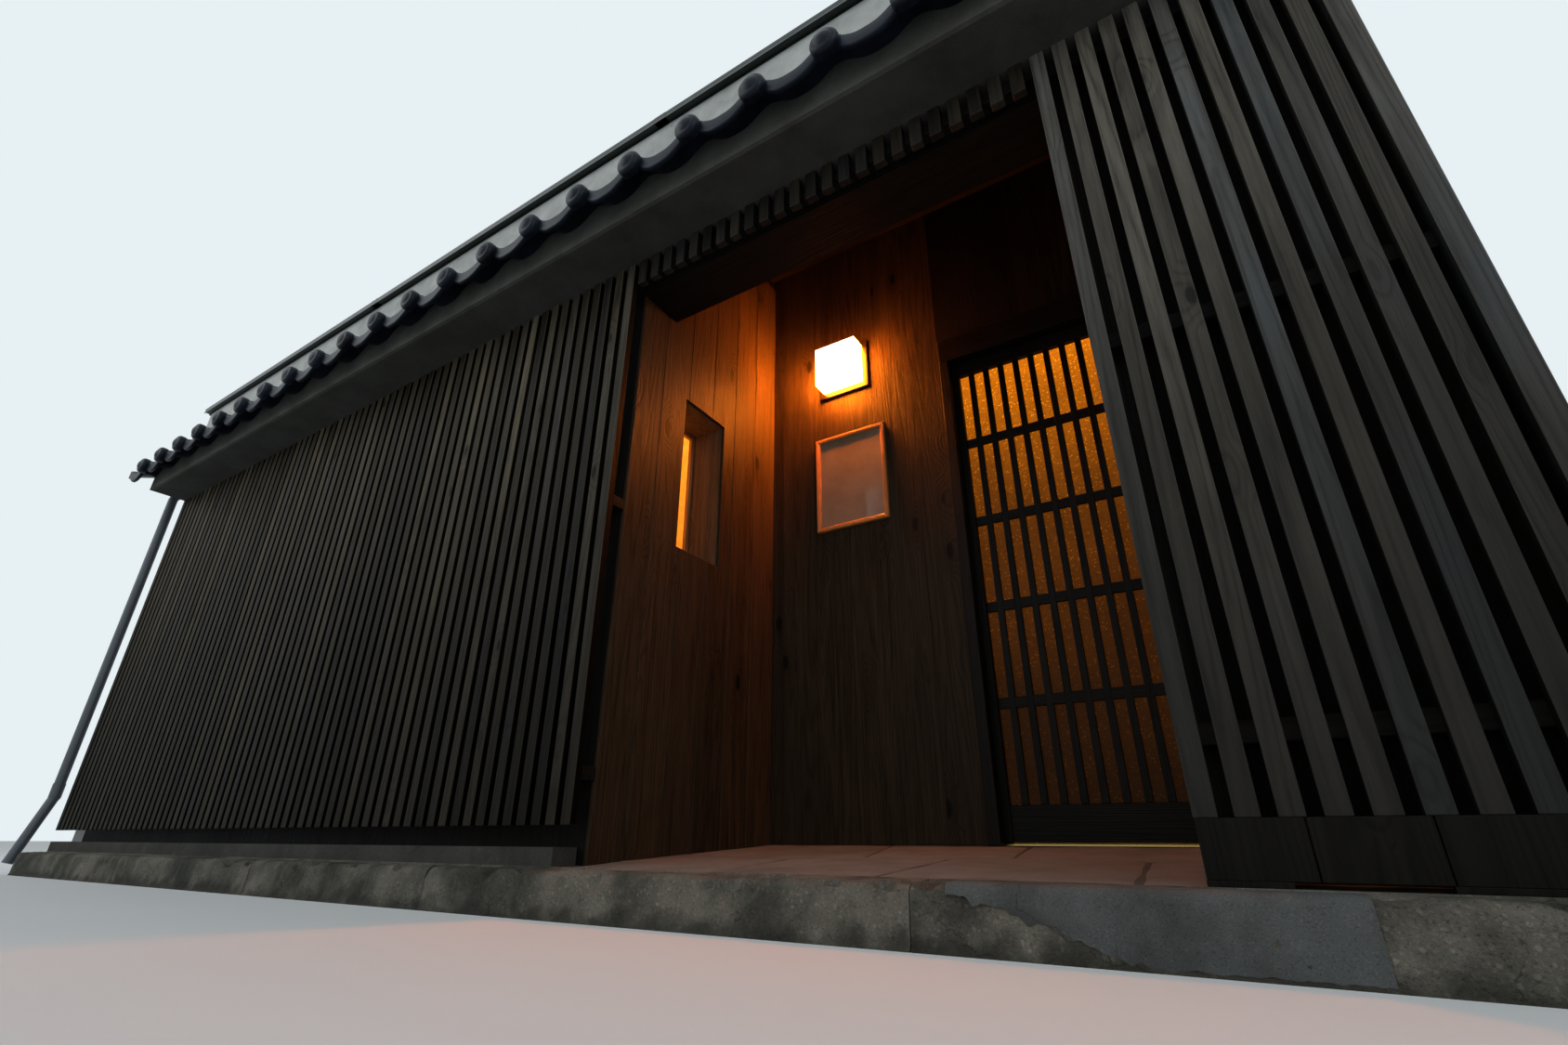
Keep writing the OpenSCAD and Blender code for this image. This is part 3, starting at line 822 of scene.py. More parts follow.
@dataclass(frozen=True)
class Wood(Finish):
    """Sawn wood: growth rings, fibres, knots, arrises paler from wear and a painted edge highlight, a tone
    for each board, and painted shade on narrow sides and towards the ground.

    Attributes:
        dark: Colour of the late rings and fibres.
        light: Colour of the early rings.
        cast: Colour that some boards lean towards.
        grain: The way that the fibres run.
        rings: Ring lines from the palest to the darkest place of the figure.
        knots: Share of the knot pattern's cells that hold a knot.
        knot_cells: Cells of the knot pattern a metre across the board.
        gloss: Roughness of the bare surface.
        shine: Strength of its reflections.
        spread: How far the boards' tones differ.
        weather: How much stain and dirt lies on it.
        relief: Depth of the fibres.
        wear: How much paler its arrises are, partly from wear and partly as a painted edge highlight.
        figure: How strongly its rings and fibres show.
        painted_side_shade: How much darker the faces along the street's line are: painted shade on the slats'
            narrow sides.
        stain_and_painted_shade: How much darker it gets down towards the ground: painted shade.
    """

    dark: Colour
    light: Colour
    cast: Colour
    grain: Grain = Grain.UPRIGHT
    rings: float = 60.0
    knots: float = 0.25
    knot_cells: float = 9.0
    gloss: float = 0.6
    shine: float = 0.2
    spread: float = 0.5
    weather: float = 0.4
    relief: float = 0.0012
    wear: float = 0.3
    figure: float = 1.0
    painted_side_shade: float = 0.0
    stain_and_painted_shade: float = 0.0

    def dress(self, bench: Bench) -> bpy.types.Material:
        """Builds the wood.

        Knots lie in some cells of a pattern stretched along the board, and the rings swirl round
        them. Rings are sines of a slow noise, sharpened by their third power.

        Args:
            bench: An empty node tree.

        Returns:
            The material.
        """
        seed = bench.seed()
        where = bench.shuffled(17.3, 9.1, 5.7)
        along = bench.stretched(where, self.grain.value)
        parts = list(bench.split(where))
        lengthwise = parts.pop(self.grain.axis)
        board = bench.vector(parts[0] + parts[1], lengthwise * 0.42, 0.0)
        distance, lot = bench.cells(board, self.knot_cells)
        chosen = lot.step(1.0 - self.knots - 0.01, 1.0 - self.knots + 0.01)
        knot = distance.step(0.15, 0.08) * chosen
        swirl = distance.step(0.50, 0.04) * chosen
        figure = bench.noise(along, 6.0, 2.0, 0.45, 0.3) + swirl * 0.12
        rings = (figure * (self.rings * 6.283)).sine() * 0.5 + 0.5
        late = rings * rings * rings
        fibre = bench.noise(along, 230.0, 3.0, 0.7).step(0.33, 0.67)
        streak = bench.noise(along, 44.0, 3.0, 0.6).step(0.30, 0.70)
        stain = bench.noise(bench.stretched(where, (1.0, 1.0, 0.5)), 3.1, 4.0, 0.6)
        body = ((fibre * 0.34 + streak * 0.42 - late * 0.36 - 0.27) * self.figure + 0.51).kept()
        colour = bench.mix(body, self.dark, self.light)
        hue = (seed * 7.31).fraction() * 1.3 - 0.4 + (stain - 0.5) * 2.2
        colour = bench.mix(hue.kept(), colour, bench.mix(body, self.dark, self.cast))
        tone = seed * self.spread + (1.0 - self.spread / 2)
        grime = (stain - 0.5) * (3.0 * self.weather) + 1.0
        colour = bench.shaded(colour, (tone * grime).most(0.12))
        colour = bench.mix(swirl * 0.45, colour, bench.shaded(colour, 0.6))
        colour = bench.mix(knot * 0.9, colour, dimmed(self.dark, 0.25))
        # Arrises paler: partly wear, partly a painted edge highlight.
        colour = bench.mix(bench.arris() * self.wear, colour, dimmed(self.light, 1.5))
        # Painted shade: the faces along the street's line, the slats' narrow sides, are darkened.
        if self.painted_side_shade > 0:
            colour = bench.shaded(colour, 1.0 - bench.facing()[0].size().step(0.75, 0.95) * self.painted_side_shade)
        # Painted shade: darker towards the ground.
        if self.stain_and_painted_shade > 0:
            colour = bench.shaded(colour, 1.0 - bench.split(bench.place())[2].step(2.9, 0.1) * self.stain_and_painted_shade)
        rough = (fibre - 0.5) * 0.16 + (stain - 0.5) * 0.25 + self.gloss
        height = fibre * 0.35 - late * 0.5 - knot * 0.5
        return bench.finish(Base_Color=colour, Roughness=rough, Normal=bench.bumped(height, self.relief),
                            Specular_IOR_Level=self.shine)


@dataclass(frozen=True)
class Mineral(Finish):
    """Plaster, render, concrete, mortar or stone: grit, blotches, stains and fine cracks.

    Attributes:
        body: Main colour.
        blotch: Colour of its blotches.
        stain: Colour of stains and of what gathers in low places.
        grit: Grains a metre.
        relief: Depth of the grit.
        lumps: Depth of the trowelled or cast unevenness.
        stained: How much of it is stained.
        cracked: How strongly fine cracks show.
        stones: How strongly the stones of its aggregate show.
        gloss: Roughness.
        foot: Height up to which its foot is dirtied, or 0.
    """

    body: Colour
    blotch: Colour
    stain: Colour
    grit: float = 420.0
    relief: float = 0.0008
    lumps: float = 0.002
    stained: float = 0.3
    cracked: float = 0.0
    stones: float = 0.0
    gloss: float = 0.85
    foot: float = 0.0

    def dress(self, bench: Bench) -> bpy.types.Material:
        """Builds the mineral.

        Its relief is summed in millimetres and laid on as a bump of one millimetre a unit.

        Args:
            bench: An empty node tree.

        Returns:
            The material.
        """
        where = bench.shuffled(11.3, 5.9, 3.1)
        grit = bench.noise(where, self.grit, 2.0, 0.7)
        lumps = bench.noise(where, 14.0, 3.0, 0.5)
        blotch = bench.noise(where, 4.3, 5.0, 0.62)
        runs = bench.noise(bench.stretched(where, (1.0, 1.0, 0.10)), 9.0, 4.0, 0.6)
        colour = bench.mix(blotch.step(0.36, 0.66), self.body, self.blotch)
        stain_and_painted_shade = (runs * 0.55 + blotch * 0.45).step(0.62 - 0.3 * self.stained, 0.86) * self.stained * 2.0
        if self.foot > 0:
            level = bench.split(bench.place())[2]
            stain_and_painted_shade = stain_and_painted_shade.most((level + (lumps - 0.5) * 0.12).step(self.foot, 0.0) * 0.75)
        colour = bench.mix(stain_and_painted_shade.least(1.0), colour, self.stain)
        speckle = grit.step(0.56, 0.72) * 0.50 - grit.step(0.44, 0.30) * 0.45
        tone = (bench.seed() - 0.5) * 0.20 + 1.0 + speckle + (lumps - 0.5) * 0.55
        height = grit * self.relief * 1000 + lumps * self.lumps * 1000
        if self.stones > 0:
            reach, lot = bench.cells(where, 95.0)
            fine, small = bench.cells(where, 240.0)
            pebble = reach.step(0.42, 0.30) * lot.step(0.45, 0.60)
            chip = fine.step(0.45, 0.25) * small.step(0.7, 0.9)
            tone = tone + (pebble * (lot - 0.62) * 2.6 + chip * 0.5) * self.stones
            height = height + pebble * 0.8 * self.stones
        colour = bench.shaded(colour, tone.most(0.15))
        if self.cracked > 0:
            bent = bench.moved(where, bench.vector(lumps * 0.22 + grit * 0.012, blotch * 0.2, lumps * 0.1))
            crack = bench.cell_edges(bent, 1.3).step(0.0042, 0.0008) * blotch.step(0.40, 0.52) * self.cracked
            colour = bench.mix(crack, colour, dimmed(self.stain, 0.3))
            height = height - crack * 2.0
        return bench.finish(Base_Color=colour, Roughness=(grit - 0.5) * 0.15 + self.gloss,
                            Normal=bench.bumped(height, 0.001), Specular_IOR_Level=0.2)


@dataclass(frozen=True)
class FiredTile(Finish):
    """Smoked clay tile: a dull silver-black skin with bloom, dust and a tone for each tile.

    Attributes:
        dark: Darkest skin.
        bloom: Colour of the pale bloom.
        dust: Colour of the dust that lies on it.
        gloss: Roughness of the clean skin.
    """

    dark: Colour
    bloom: Colour
    dust: Colour
    gloss: float = 0.38

    def dress(self, bench: Bench) -> bpy.types.Material:
        """Builds the fired skin.

        Args:
            bench: An empty node tree.

        Returns:
            The material.
        """
        where = bench.shuffled(13.0, 7.0, 3.0)
        cloud = bench.noise(where, 9.0, 5.0, 0.62)
        fine = bench.noise(where, 160.0, 3.0, 0.6)
        runs = bench.noise(bench.stretched(where, (1.0, 0.25, 0.25)), 22.0, 3.0, 0.55)
        colour = bench.mix(cloud.step(0.35, 0.70) * 0.8, self.dark, self.bloom)
        colour = bench.mix(runs.step(0.54, 0.74) * 0.45, colour, self.dust)
        colour = bench.shaded(colour, (bench.seed() - 0.5) * 0.5 + 1.0 + (fine - 0.5) * 0.35)
        rough = cloud * 0.25 + runs * 0.15 + (self.gloss - 0.18)
        return bench.finish(Base_Color=colour, Roughness=rough, Metallic=0.1, Specular_IOR_Level=0.14,
                            Normal=bench.bumped(fine * 0.5 + cloud * 0.8, 0.0008))


@dataclass(frozen=True)
class CoatedMetal(Finish):
    """Painted or coated sheet, brass or plastic pipe: an even skin with wear and dust.

    Attributes:
        skin: Main colour.
        wear: Colour of worn and dusty places.
        metal: Metallic share.
        gloss: Roughness of the clean skin.
        worn: How much of it is worn.
        dents: Depth of its dents.
    """

    skin: Colour
    wear: Colour
    metal: float = 0.0
    gloss: float = 0.35
    worn: float = 0.4
    dents: float = 0.0006

    def dress(self, bench: Bench) -> bpy.types.Material:
        """Builds the skin.

        Args:
            bench: An empty node tree.

        Returns:
            The material.
        """
        where = bench.place()
        broad = bench.noise(where, 5.0, 4.0, 0.6)
        fine = bench.noise(where, 130.0, 3.0, 0.6)
        runs = bench.noise(bench.stretched(where, (1.0, 1.0, 0.12)), 16.0, 3.0, 0.55)
        worn = (broad * 0.5 + runs * 0.5).step(0.56, 0.74) * self.worn + (fine - 0.5) * 0.3
        rough = worn * 0.35 + self.gloss + (fine - 0.5) * 0.1
        return bench.finish(Base_Color=bench.mix(worn, self.skin, self.wear), Roughness=rough,
                            Metallic=self.metal, Normal=bench.bumped(broad * 0.6 + fine * 0.1, self.dents))


@dataclass(frozen=True)
class LitGlass(Finish):
    """Patterned frosted glass that glows with painted light, standing for a warm light behind it, with
    painted glints.

    Attributes:
        bright: Colour of the light at its brightest.
        dim: Colour of the light that is left far from it.
        high: Height at which it is brightest.
        fall: Share of the light that is left a row of panes lower.
        row: Height of a row of panes.
        strength: Strength of the light.
        pattern: Bumps of the glass a metre.
        glints: Share of the bumps that glint.
    """

    bright: Colour
    dim: Colour
    high: float
    fall: float
    row: float
    strength: float
    pattern: float = 150.0
    glints: float = 0.18

    def dress(self, bench: Bench) -> bpy.types.Material:
        """Builds the lit glass.

        The light falls by one share a row: share to the power of the rows below the brightest.

        Args:
            bench: An empty node tree.

        Returns:
            The material.
        """
        where = bench.place()
        pits, lot = bench.cells(where, self.pattern)
        cloud = bench.noise(where, 3.4, 3.0, 0.55)
        rows = (self.high - bench.split(where)[2]) / self.row + (cloud - 0.5) * 1.8
        level = self.fall ** rows.most(-0.3)
        # Painted glints: some of the glass's bumps glow brighter.
        glint = pits.step(0.42, 0.18) * lot.step(1.0 - self.glints - 0.02, 1.0 - self.glints + 0.02)
        light = bench.shaded(bench.vector(*self.bright), level * ((lot - 0.5) * 0.30 + 0.95))
        light = bench.mix(glint, light, bench.shaded(light, 3.4))
        return bench.finish(Base_Color=bench.mix(cloud, (0.004, 0.003, 0.002), (0.002, 0.0015, 0.001)),
                            Roughness=0.30, Emission_Color=bench.moved(light, self.dim),
                            Emission_Strength=self.strength, Normal=bench.bumped(pits, 0.0010),
                            Specular_IOR_Level=0.03)


@dataclass(frozen=True)
class LitShade(Finish):
    """A white lamp shade that lights the walls beside it and looks white from the street.

    Attributes:
        glow: Colour of the light.
        strength: Strength of the light.
        face: Colour of the light that leaves by its front, beside the glow.
    """

    glow: Colour
    strength: float
    face: Colour

    def dress(self, bench: Bench) -> bpy.types.Material:
        """Builds the lit shade, dimmer at its top, its right side and its foot.

        Args:
            bench: An empty node tree.

        Returns:
            The material.
        """
        cloud = bench.noise(bench.place(), 6.0, 2.0, 0.5)
        colour = bench.mix(cloud * 0.25, self.glow, dimmed(self.glow, 0.8))
        side, front, up = bench.facing()
        top = up.step(0.75, 0.25) * 0.88 + 0.12
        right = 1.0 - side.most(0.0) * 0.5
        foot = 1.0 - (up * -1.0).step(0.25, 0.75) * 0.36
        colour = bench.mix(front.step(-0.5, -0.9), bench.shaded(colour, top * right * foot), self.face)
        return bench.finish(Base_Color=(0.86, 0.84, 0.78), Roughness=0.4, Emission_Color=colour,
                            Emission_Strength=self.strength)


@dataclass(frozen=True)
class Paper(Finish):
    """Plain paper with fibres, under a thin clear sheet.

    Attributes:
        body: Its colour.
        aged: Its colour where it has aged.
    """

    body: Colour
    aged: Colour

    def dress(self, bench: Bench) -> bpy.types.Material:
        """Builds the paper.

        Args:
            bench: An empty node tree.

        Returns:
            The material.
        """
        where = bench.place()
        fibres = bench.noise(bench.stretched(where, (1.0, 1.0, 0.3)), 260.0, 3.0, 0.6, 1.2)
        cloud = bench.noise(where, 7.0, 4.0, 0.55)
        colour = bench.mix(cloud.step(0.35, 0.7), self.body, self.aged)
        return bench.finish(Base_Color=bench.shaded(colour, (fibres - 0.5) * 0.25 + 1.0), Roughness=0.7,
                            Coat_Weight=0.25, Coat_Roughness=0.06, Normal=bench.bumped(fibres, 0.0002))


WEATHERED_SLATS = Wood(
    "weathered_slats", (0.014, 0.013, 0.011), (0.156, 0.144, 0.118), (0.100, 0.113, 0.121),
    rings=22, knots=0.30, knot_cells=11, gloss=0.52, shine=0.12, spread=0.75, weather=0.6,
    relief=0.0007, wear=0.30, figure=0.62, painted_side_shade=0.62, stain_and_painted_shade=0.85)
# A darker copy of the weathered slats for the left screen: painted shade.
LEFT_SLATS_PAINTED_SHADE = replace(
    WEATHERED_SLATS, name="left_slats", dark=(0.006, 0.005, 0.0036), light=(0.094, 0.080, 0.053),
    cast=(0.050, 0.047, 0.043), shine=0.04, spread=1.15, weather=0.9, wear=0.5, painted_side_shade=0.90, stain_and_painted_shade=0.76)
# A darker copy of the weathered slats for the short slats over the entry: painted shade under the eave.
STUB_SLATS_PAINTED_SHADE = replace(
    WEATHERED_SLATS, name="stub_slats", dark=(0.006, 0.005, 0.004), light=(0.034, 0.029, 0.021),
    cast=(0.019, 0.021, 0.023))
RAIL_TIMBER = Wood(
    "rail_timber", (0.003, 0.003, 0.002), (0.010, 0.009, 0.008), (0.007, 0.007, 0.007),
    grain=Grain.ALONG_STREET, rings=22, knots=0.1, gloss=0.65, shine=0.06, wear=0.1)
STAINED_BOARDS = Wood(
    "stained_boards", (0.0068, 0.0047, 0.0028), (0.055, 0.0350, 0.0190), (0.031, 0.0210, 0.0130),
    rings=34, knots=0.42, knot_cells=8, gloss=0.50, shine=0.06, spread=0.42, weather=0.34, wear=0.0,
    figure=0.72)
# A paler copy of the stained boards for the slit window's lining: painted light from the window.
REVEAL_BOARDS_PAINTED_LIGHT = replace(
    STAINED_BOARDS, name="reveal_boards", dark=(0.024, 0.016, 0.009), light=(0.200, 0.125, 0.068),
    cast=(0.120, 0.075, 0.045))
DARK_BOARDS = Wood(
    "dark_boards", (0.002, 0.0018, 0.0015), (0.009, 0.0075, 0.006), (0.006, 0.005, 0.005),
    rings=30, knots=0.15, gloss=0.65, shine=0.06, wear=0.1)
LINTEL_BOARDS = Wood(
    "lintel_boards", (0.003, 0.0024, 0.0018), (0.012, 0.009, 0.006), (0.009, 0.007, 0.005),
    grain=Grain.ALONG_STREET, rings=30, knots=0.15, gloss=0.55, shine=0.08, spread=0.4, weather=0.3)
SKIRT_BOARDS = Wood(
    "skirt_boards", (0.002, 0.0018, 0.0013), (0.0085, 0.0076, 0.0058), (0.0055, 0.0055, 0.0050),
    rings=30, knots=0.2, shine=0.07, weather=0.5, wear=0.2)
ROOF_TIMBER = Wood(
    "roof_timber", (0.0015, 0.0012, 0.0010), (0.0055, 0.0042, 0.0030), (0.0040, 0.0032, 0.0025),
    grain=Grain.ALONG_STREET, rings=30, knots=0.2, gloss=0.65, spread=0.3, weather=0.3)
JOINERY = Wood(
    "dark_joinery", (0.002, 0.0016, 0.0013), (0.010, 0.0072, 0.0052), (0.006, 0.005, 0.004),
    rings=40, knots=0.0, gloss=0.46, shine=0.07, spread=0.3, weather=0.2, relief=0.0005, wear=0.2)
JOINERY_LEVEL = replace(JOINERY, name="dark_joinery_level", grain=Grain.ALONG_STREET)
PALE_WOOD = Wood(
    "pale_wood", (0.200, 0.080, 0.022), (0.560, 0.250, 0.075), (0.300, 0.120, 0.036),
    rings=40, knots=0.0, gloss=0.38, shine=0.3, spread=0.2, weather=0.15, relief=0.0004, wear=0.2)
PLASTER = Mineral(
    "plaster", (0.440, 0.475, 0.465), (0.385, 0.418, 0.408), (0.200, 0.200, 0.182),
    grit=520, relief=0.0004, lumps=0.0022, stained=0.28, cracked=0.3, gloss=0.88)
# The soffit's and end caps' render is a darker copy of the fascia's: painted shade under the eave.
EAVE_RENDER_PAINTED_SHADE = Mineral(
    "eave_render", (0.046, 0.048, 0.043), (0.034, 0.034, 0.029), (0.020, 0.017, 0.012),
    grit=560, relief=0.0009, lumps=0.0010, stained=0.34, gloss=0.9)
FASCIA_RENDER = replace(
    EAVE_RENDER_PAINTED_SHADE, name="fascia_render", body=(0.086, 0.090, 0.082), blotch=(0.066, 0.068, 0.060),
    stain=(0.034, 0.031, 0.024))
CONCRETE = Mineral(
    "concrete", (0.118, 0.112, 0.094), (0.044, 0.046, 0.037), (0.012, 0.012, 0.009),
    grit=190, relief=0.0034, lumps=0.0080, stained=0.70, cracked=0.4, stones=0.6, gloss=0.9, foot=0.05)
PATCH_MORTAR = Mineral(
    "patch_mortar", (0.072, 0.080, 0.080), (0.044, 0.049, 0.048), (0.016, 0.017, 0.015),
    grit=330, relief=0.0009, lumps=0.0045, stained=0.55, cracked=0.3, gloss=0.88)
MORTAR = Mineral(
    "mortar", (0.050, 0.049, 0.044), (0.036, 0.036, 0.031), (0.015, 0.014, 0.012),
    grit=260, relief=0.0014, lumps=0.0040, stained=0.45, cracked=0.3, stones=0.4, gloss=0.92)
FLOOR_CONCRETE = Mineral(
    "floor_concrete", (0.180, 0.172, 0.160), (0.150, 0.144, 0.132), (0.085, 0.080, 0.070),
    grit=360, relief=0.0006, lumps=0.0015, gloss=0.75)
FLAGSTONE = Mineral(
    "flagstone", (0.130, 0.128, 0.118), (0.098, 0.096, 0.088), (0.050, 0.047, 0.040),
    grit=380, lumps=0.0026, stained=0.34, gloss=0.70)
SMOKED_TILE = FiredTile(
    "smoked_tile", (0.0032, 0.0052, 0.0092), (0.0085, 0.0145, 0.0260), (0.009, 0.012, 0.015))
COATED_SHEET = CoatedMetal("coated_sheet", (0.008, 0.014, 0.012), (0.030, 0.040, 0.037), metal=0.2)
DARK_METAL = CoatedMetal("dark_metal", (0.010, 0.006, 0.004), (0.036, 0.022, 0.014), metal=0.3)
GREY_PIPE = CoatedMetal("grey_pipe", (0.058, 0.072, 0.090), (0.034, 0.038, 0.043), gloss=0.5, worn=0.7)
BRASS = CoatedMetal("brass_track", (0.500, 0.350, 0.120), (0.220, 0.150, 0.070), metal=0.9, gloss=0.3)
DOOR_GLASS = LitGlass(
    "lit_glass", (0.58, 0.142, 0.003), (0.003, 0.002, 0.0010), high=1.90, fall=0.44, row=0.318, strength=1.0)
SLIT_GLASS = LitGlass(
    "lit_slit_glass", (1.0, 0.270, 0.016), (0.40, 0.090, 0.006), high=1.70, fall=0.72, row=0.3, strength=1.2,
    pattern=60.0, glints=0.2)
LAMP_SHADE = LitShade("lit_shade", (1.0, 0.205, 0.010), 440.0, (0.010, 0.0086, 0.0066))
PAPER = Paper("blank_paper", (0.170, 0.140, 0.098), (0.130, 0.105, 0.070))


# Sub-assemblies


def even_places(start: float, end: float, width: float, gap: float) -> Array:
    """Low edges of slats spread evenly between two ends, one flush with each."""
    count = round((end - start - width) / (width + gap))
    return start + (end - start - width) * np.arange(count + 1) / count


def board_runs(start: float, end: float, first: float, width: float) -> list[Span]:
    """Boards between two ends, with a joint at one place and a joint every width from there.

    Args:
        start: Low end of the run.
        end: High end of the run.
        first: Place of one joint.
        width: Width of a board.

    Returns:
        Ends of each board.
    """
    joints = first + width * np.arange(math.ceil((start - first) / width), math.ceil((end - first) / width))
    edges = [start, *[joint for joint in joints if start + 0.01 < joint < end - 0.01], end]
    return list(zip(edges[:-1], edges[1:]))


@dataclass
class SubAssembly:
    """A part of the house that is built and dressed on its own.

    Attributes:
        frame: The loaded frame.
    """

    frame: dict[str, Any]

    def build(self) -> None:
        """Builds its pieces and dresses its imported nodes."""
        raise NotImplementedError

    def dress(self, finish: Finish, *names: str) -> None:
        """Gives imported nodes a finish.

        Args:
            finish: The finish.
            names: The nodes.
        """
        for name in names:
            mesh = self.frame["nodes"][name].data
            mesh.materials.clear()
            mesh.materials.append(finish.material())
            LOG.info("%s: packed solid in %s", name, finish.name)


@dataclass
class StreetBase(SubAssembly):
    """Kerb, plinth, flagged porch and inner floor.

    Attributes:
        segment: Mean length of a kerb segment.
        batter: How far the kerb's front leans back.
        edge_radius: Radius of the kerb's worn front edge.
        patch_run: Ends of the kerb's mortar repair.
        stone_width: Mean width of a flagstone.
        joint: Width of the joints between flagstones.
        bed_depth: How far the mortar bed lies under the flagstones' tops.
    """

    segment: float = 1.25
    batter: float = 0.008
    edge_radius: float = 0.020
    patch_run: Span = (2.06, 2.68)
    stone_width: float = 0.56
    joint: float = 0.006
    bed_depth: float = 0.004

    def build(self) -> None:
        """Builds and dresses the base."""
        self.kerb()
        self.patch()
        self.flagstones()
        self.bed()
        self.dress(MORTAR, "left_plinth")
        self.dress(FLOOR_CONCRETE, "floor_slab")

    def kerb_section(self, box: Extent) -> Array:
        """The kerb's section: a battered front, a round edge, the level top and the back.

        Args:
            box: The kerb's extent.

        Returns:
            Points as [depth, height].
        """
        r, lean = self.edge_radius, self.batter
        rise = np.linspace(box.foot, box.top - r, 9)
        turn = np.linspace(0, math.pi / 2, 7)[1:]
        brow = box.front + lean + r
        return np.concatenate([
            np.stack([box.front + lean * (rise - box.foot) / (box.top - box.foot), rise], 1),
            np.stack([brow - r * np.cos(turn), box.top - r + r * np.sin(turn)], 1),
            np.stack([np.linspace(brow, box.back, 8)[1:], np.full(7, box.top)], 1),
            [[box.back, box.foot]],
        ])

    @staticmethod
    def worn(points: Array, box: Extent, number: int) -> Array:
        """A kerb segment as the years have left it.

        Each point sinks a little and moves by ripples, and near the front edge by deeper ripples
        clipped to chips. The back and the foot stay flat, and no point leaves the kerb's box.

        Args:
            points: Points of the new segment.
            box: The kerb's extent.
            number: The segment's number, which tells its ripples from the others'.

        Returns:
            The moved points.
        """
        y, z = points[..., 1], points[..., 2]
        fine, broad, deep = (ripple(points, length, salt + number)
                             for length, salt in ((0.035, 50), (0.16, 70), (0.07, 90)))
        chips = np.clip(deep - 0.65, 0, 1) * 0.024
        edge = np.exp(-((y - box.front - 0.012) ** 2 + (z - box.top) ** 2) / 0.0011)
        inside = (z > box.foot + 0.004) & (y < box.back - 0.004)
        lift = np.where(inside, fine * 0.0016 + broad * 0.0026 - 0.0045, 0)
        depth = y - (lift * 0.8 - chips * edge)
        height = z + (np.where(z > box.top - 0.012, lift, 0) - chips * edge)
        return np.stack([points[..., 0], np.clip(depth, box.front, box.back),
                         np.clip(height, box.foot, box.top)], -1)

    def kerb(self) -> None:
        """Cast kerb segments, each the section carried along the street in steps of about 7 mm."""
        box = Extent.of("front_kerb")
        section = self.kerb_section(box)
        count = round((box.right - box.left) / self.segment)
        draw = np.random.default_rng(41)
        cuts = np.linspace(box.left, box.right, count + 1)
        cuts[1:-1] += draw.uniform(-0.16, 0.16, count - 1)
        half_joint, step = 0.0012, 0.007
        parts = []
        for i, (start, end) in enumerate(zip(cuts[:-1], cuts[1:])):
            xs = np.linspace(start + half_joint, end - half_joint, max(4, int((end - start) / step)))
            points = self.worn(stations(xs, section[:, 0], section[:, 1]), box, i)
            parts.append(sweep(points, float(draw.random())))
        make_piece("kerb_segments", Surface.joined(parts), CONCRETE, replaces=["front_kerb"],
                   smooth=40)

    def patch(self) -> None:
        """A smooth mortar repair over the kerb's edge, whose ragged lower edge runs down to the right."""
        box = Extent.of("front_kerb")
        front, low, top, r, skin = box.front, box.foot, box.top, self.edge_radius, 0.0004
        xs = np.arange(*self.patch_run, 0.005)
        line = np.stack([xs, 0 * xs, 0 * xs], 1)
        share = np.clip((xs - xs[0]) / 0.30, 0, 1)
        ragged = ripple(line, 0.03, 61) * 0.006 * np.sin(math.pi * share ** 0.5 * 0.9)
        foot = top - 0.020 - (top - low - 0.026) * share ** 1.3 + ragged
        foot = np.clip(foot, low + 0.004, top - 0.020)
        lean = front + 0.0015 + 0.006 * (foot - low) / (top - low)
        back = front + (0.070 + 0.02 * ripple(line, 0.2, 62))
        section = [(lean, foot)]
        section += [(front + 0.0065 + r - r * math.cos(turn), top - r + r * math.sin(turn) - skin)
                    for turn in np.linspace(0, math.pi / 2, 6)]
        section += [(back, top - skin), (back, top - 0.014), (front + 0.024, top - 0.022),
                    (lean + 0.014, foot + 0.001)]
        ys, zs = (np.stack([point[i] + 0 * xs for point in section], 1) for i in (0, 1))
        make_piece("kerb_patch", sweep(stations(xs, ys, zs)), PATCH_MORTAR, smooth=40)

    def porch_edges(self) -> tuple[float, float, float, float]:
        """Left, right, front and back of the flagged floor."""
        return (Extent.of("recess_side_wall").right, Extent.of("right_party_wall").left,
                Extent.of("porch_floor").front, Extent.of("recess_wall_left").front)

    def porch_level(self, y: Any) -> Any:
        """Height of the flagged floor at a depth.

        Args:
            y: The depth.

        Returns:
            A height that rises evenly from the kerb's top to the floor's own at the door.
        """
        low, high = Extent.of("front_kerb").top, Extent.of("porch_floor").top
        _, _, front, back = self.porch_edges()
        return low + (high - low) / (back - front) * np.clip(y - front, 0, back - front)

    def stone_middles(self) -> Array:
        """Middles of the flagstones, on a jittered grid whose rows are staggered.

        Returns:
            The middles as [x, y].
        """
        left, right, front, back = self.porch_edges()
        draw = np.random.default_rng(17)
        columns = round((right - left) / self.stone_width)
        rows = round((back - front) / (self.stone_width * 0.78))
        across, along = np.meshgrid((np.arange(columns) + 0.5) / columns, (np.arange(rows) + 0.5) / rows)
        across = across + (np.arange(rows)[:, None] % 2 - 0.5) * 0.32 / columns
        middle = np.stack([left + across.ravel() * (right - left), front + along.ravel() * (back - front)], 1)
        middle += draw.uniform(-0.13, 0.13, middle.shape) * [1.0, 0.7]
        return np.clip(middle, [left + 0.06, front + 0.05], [right - 0.06, back - 0.05])

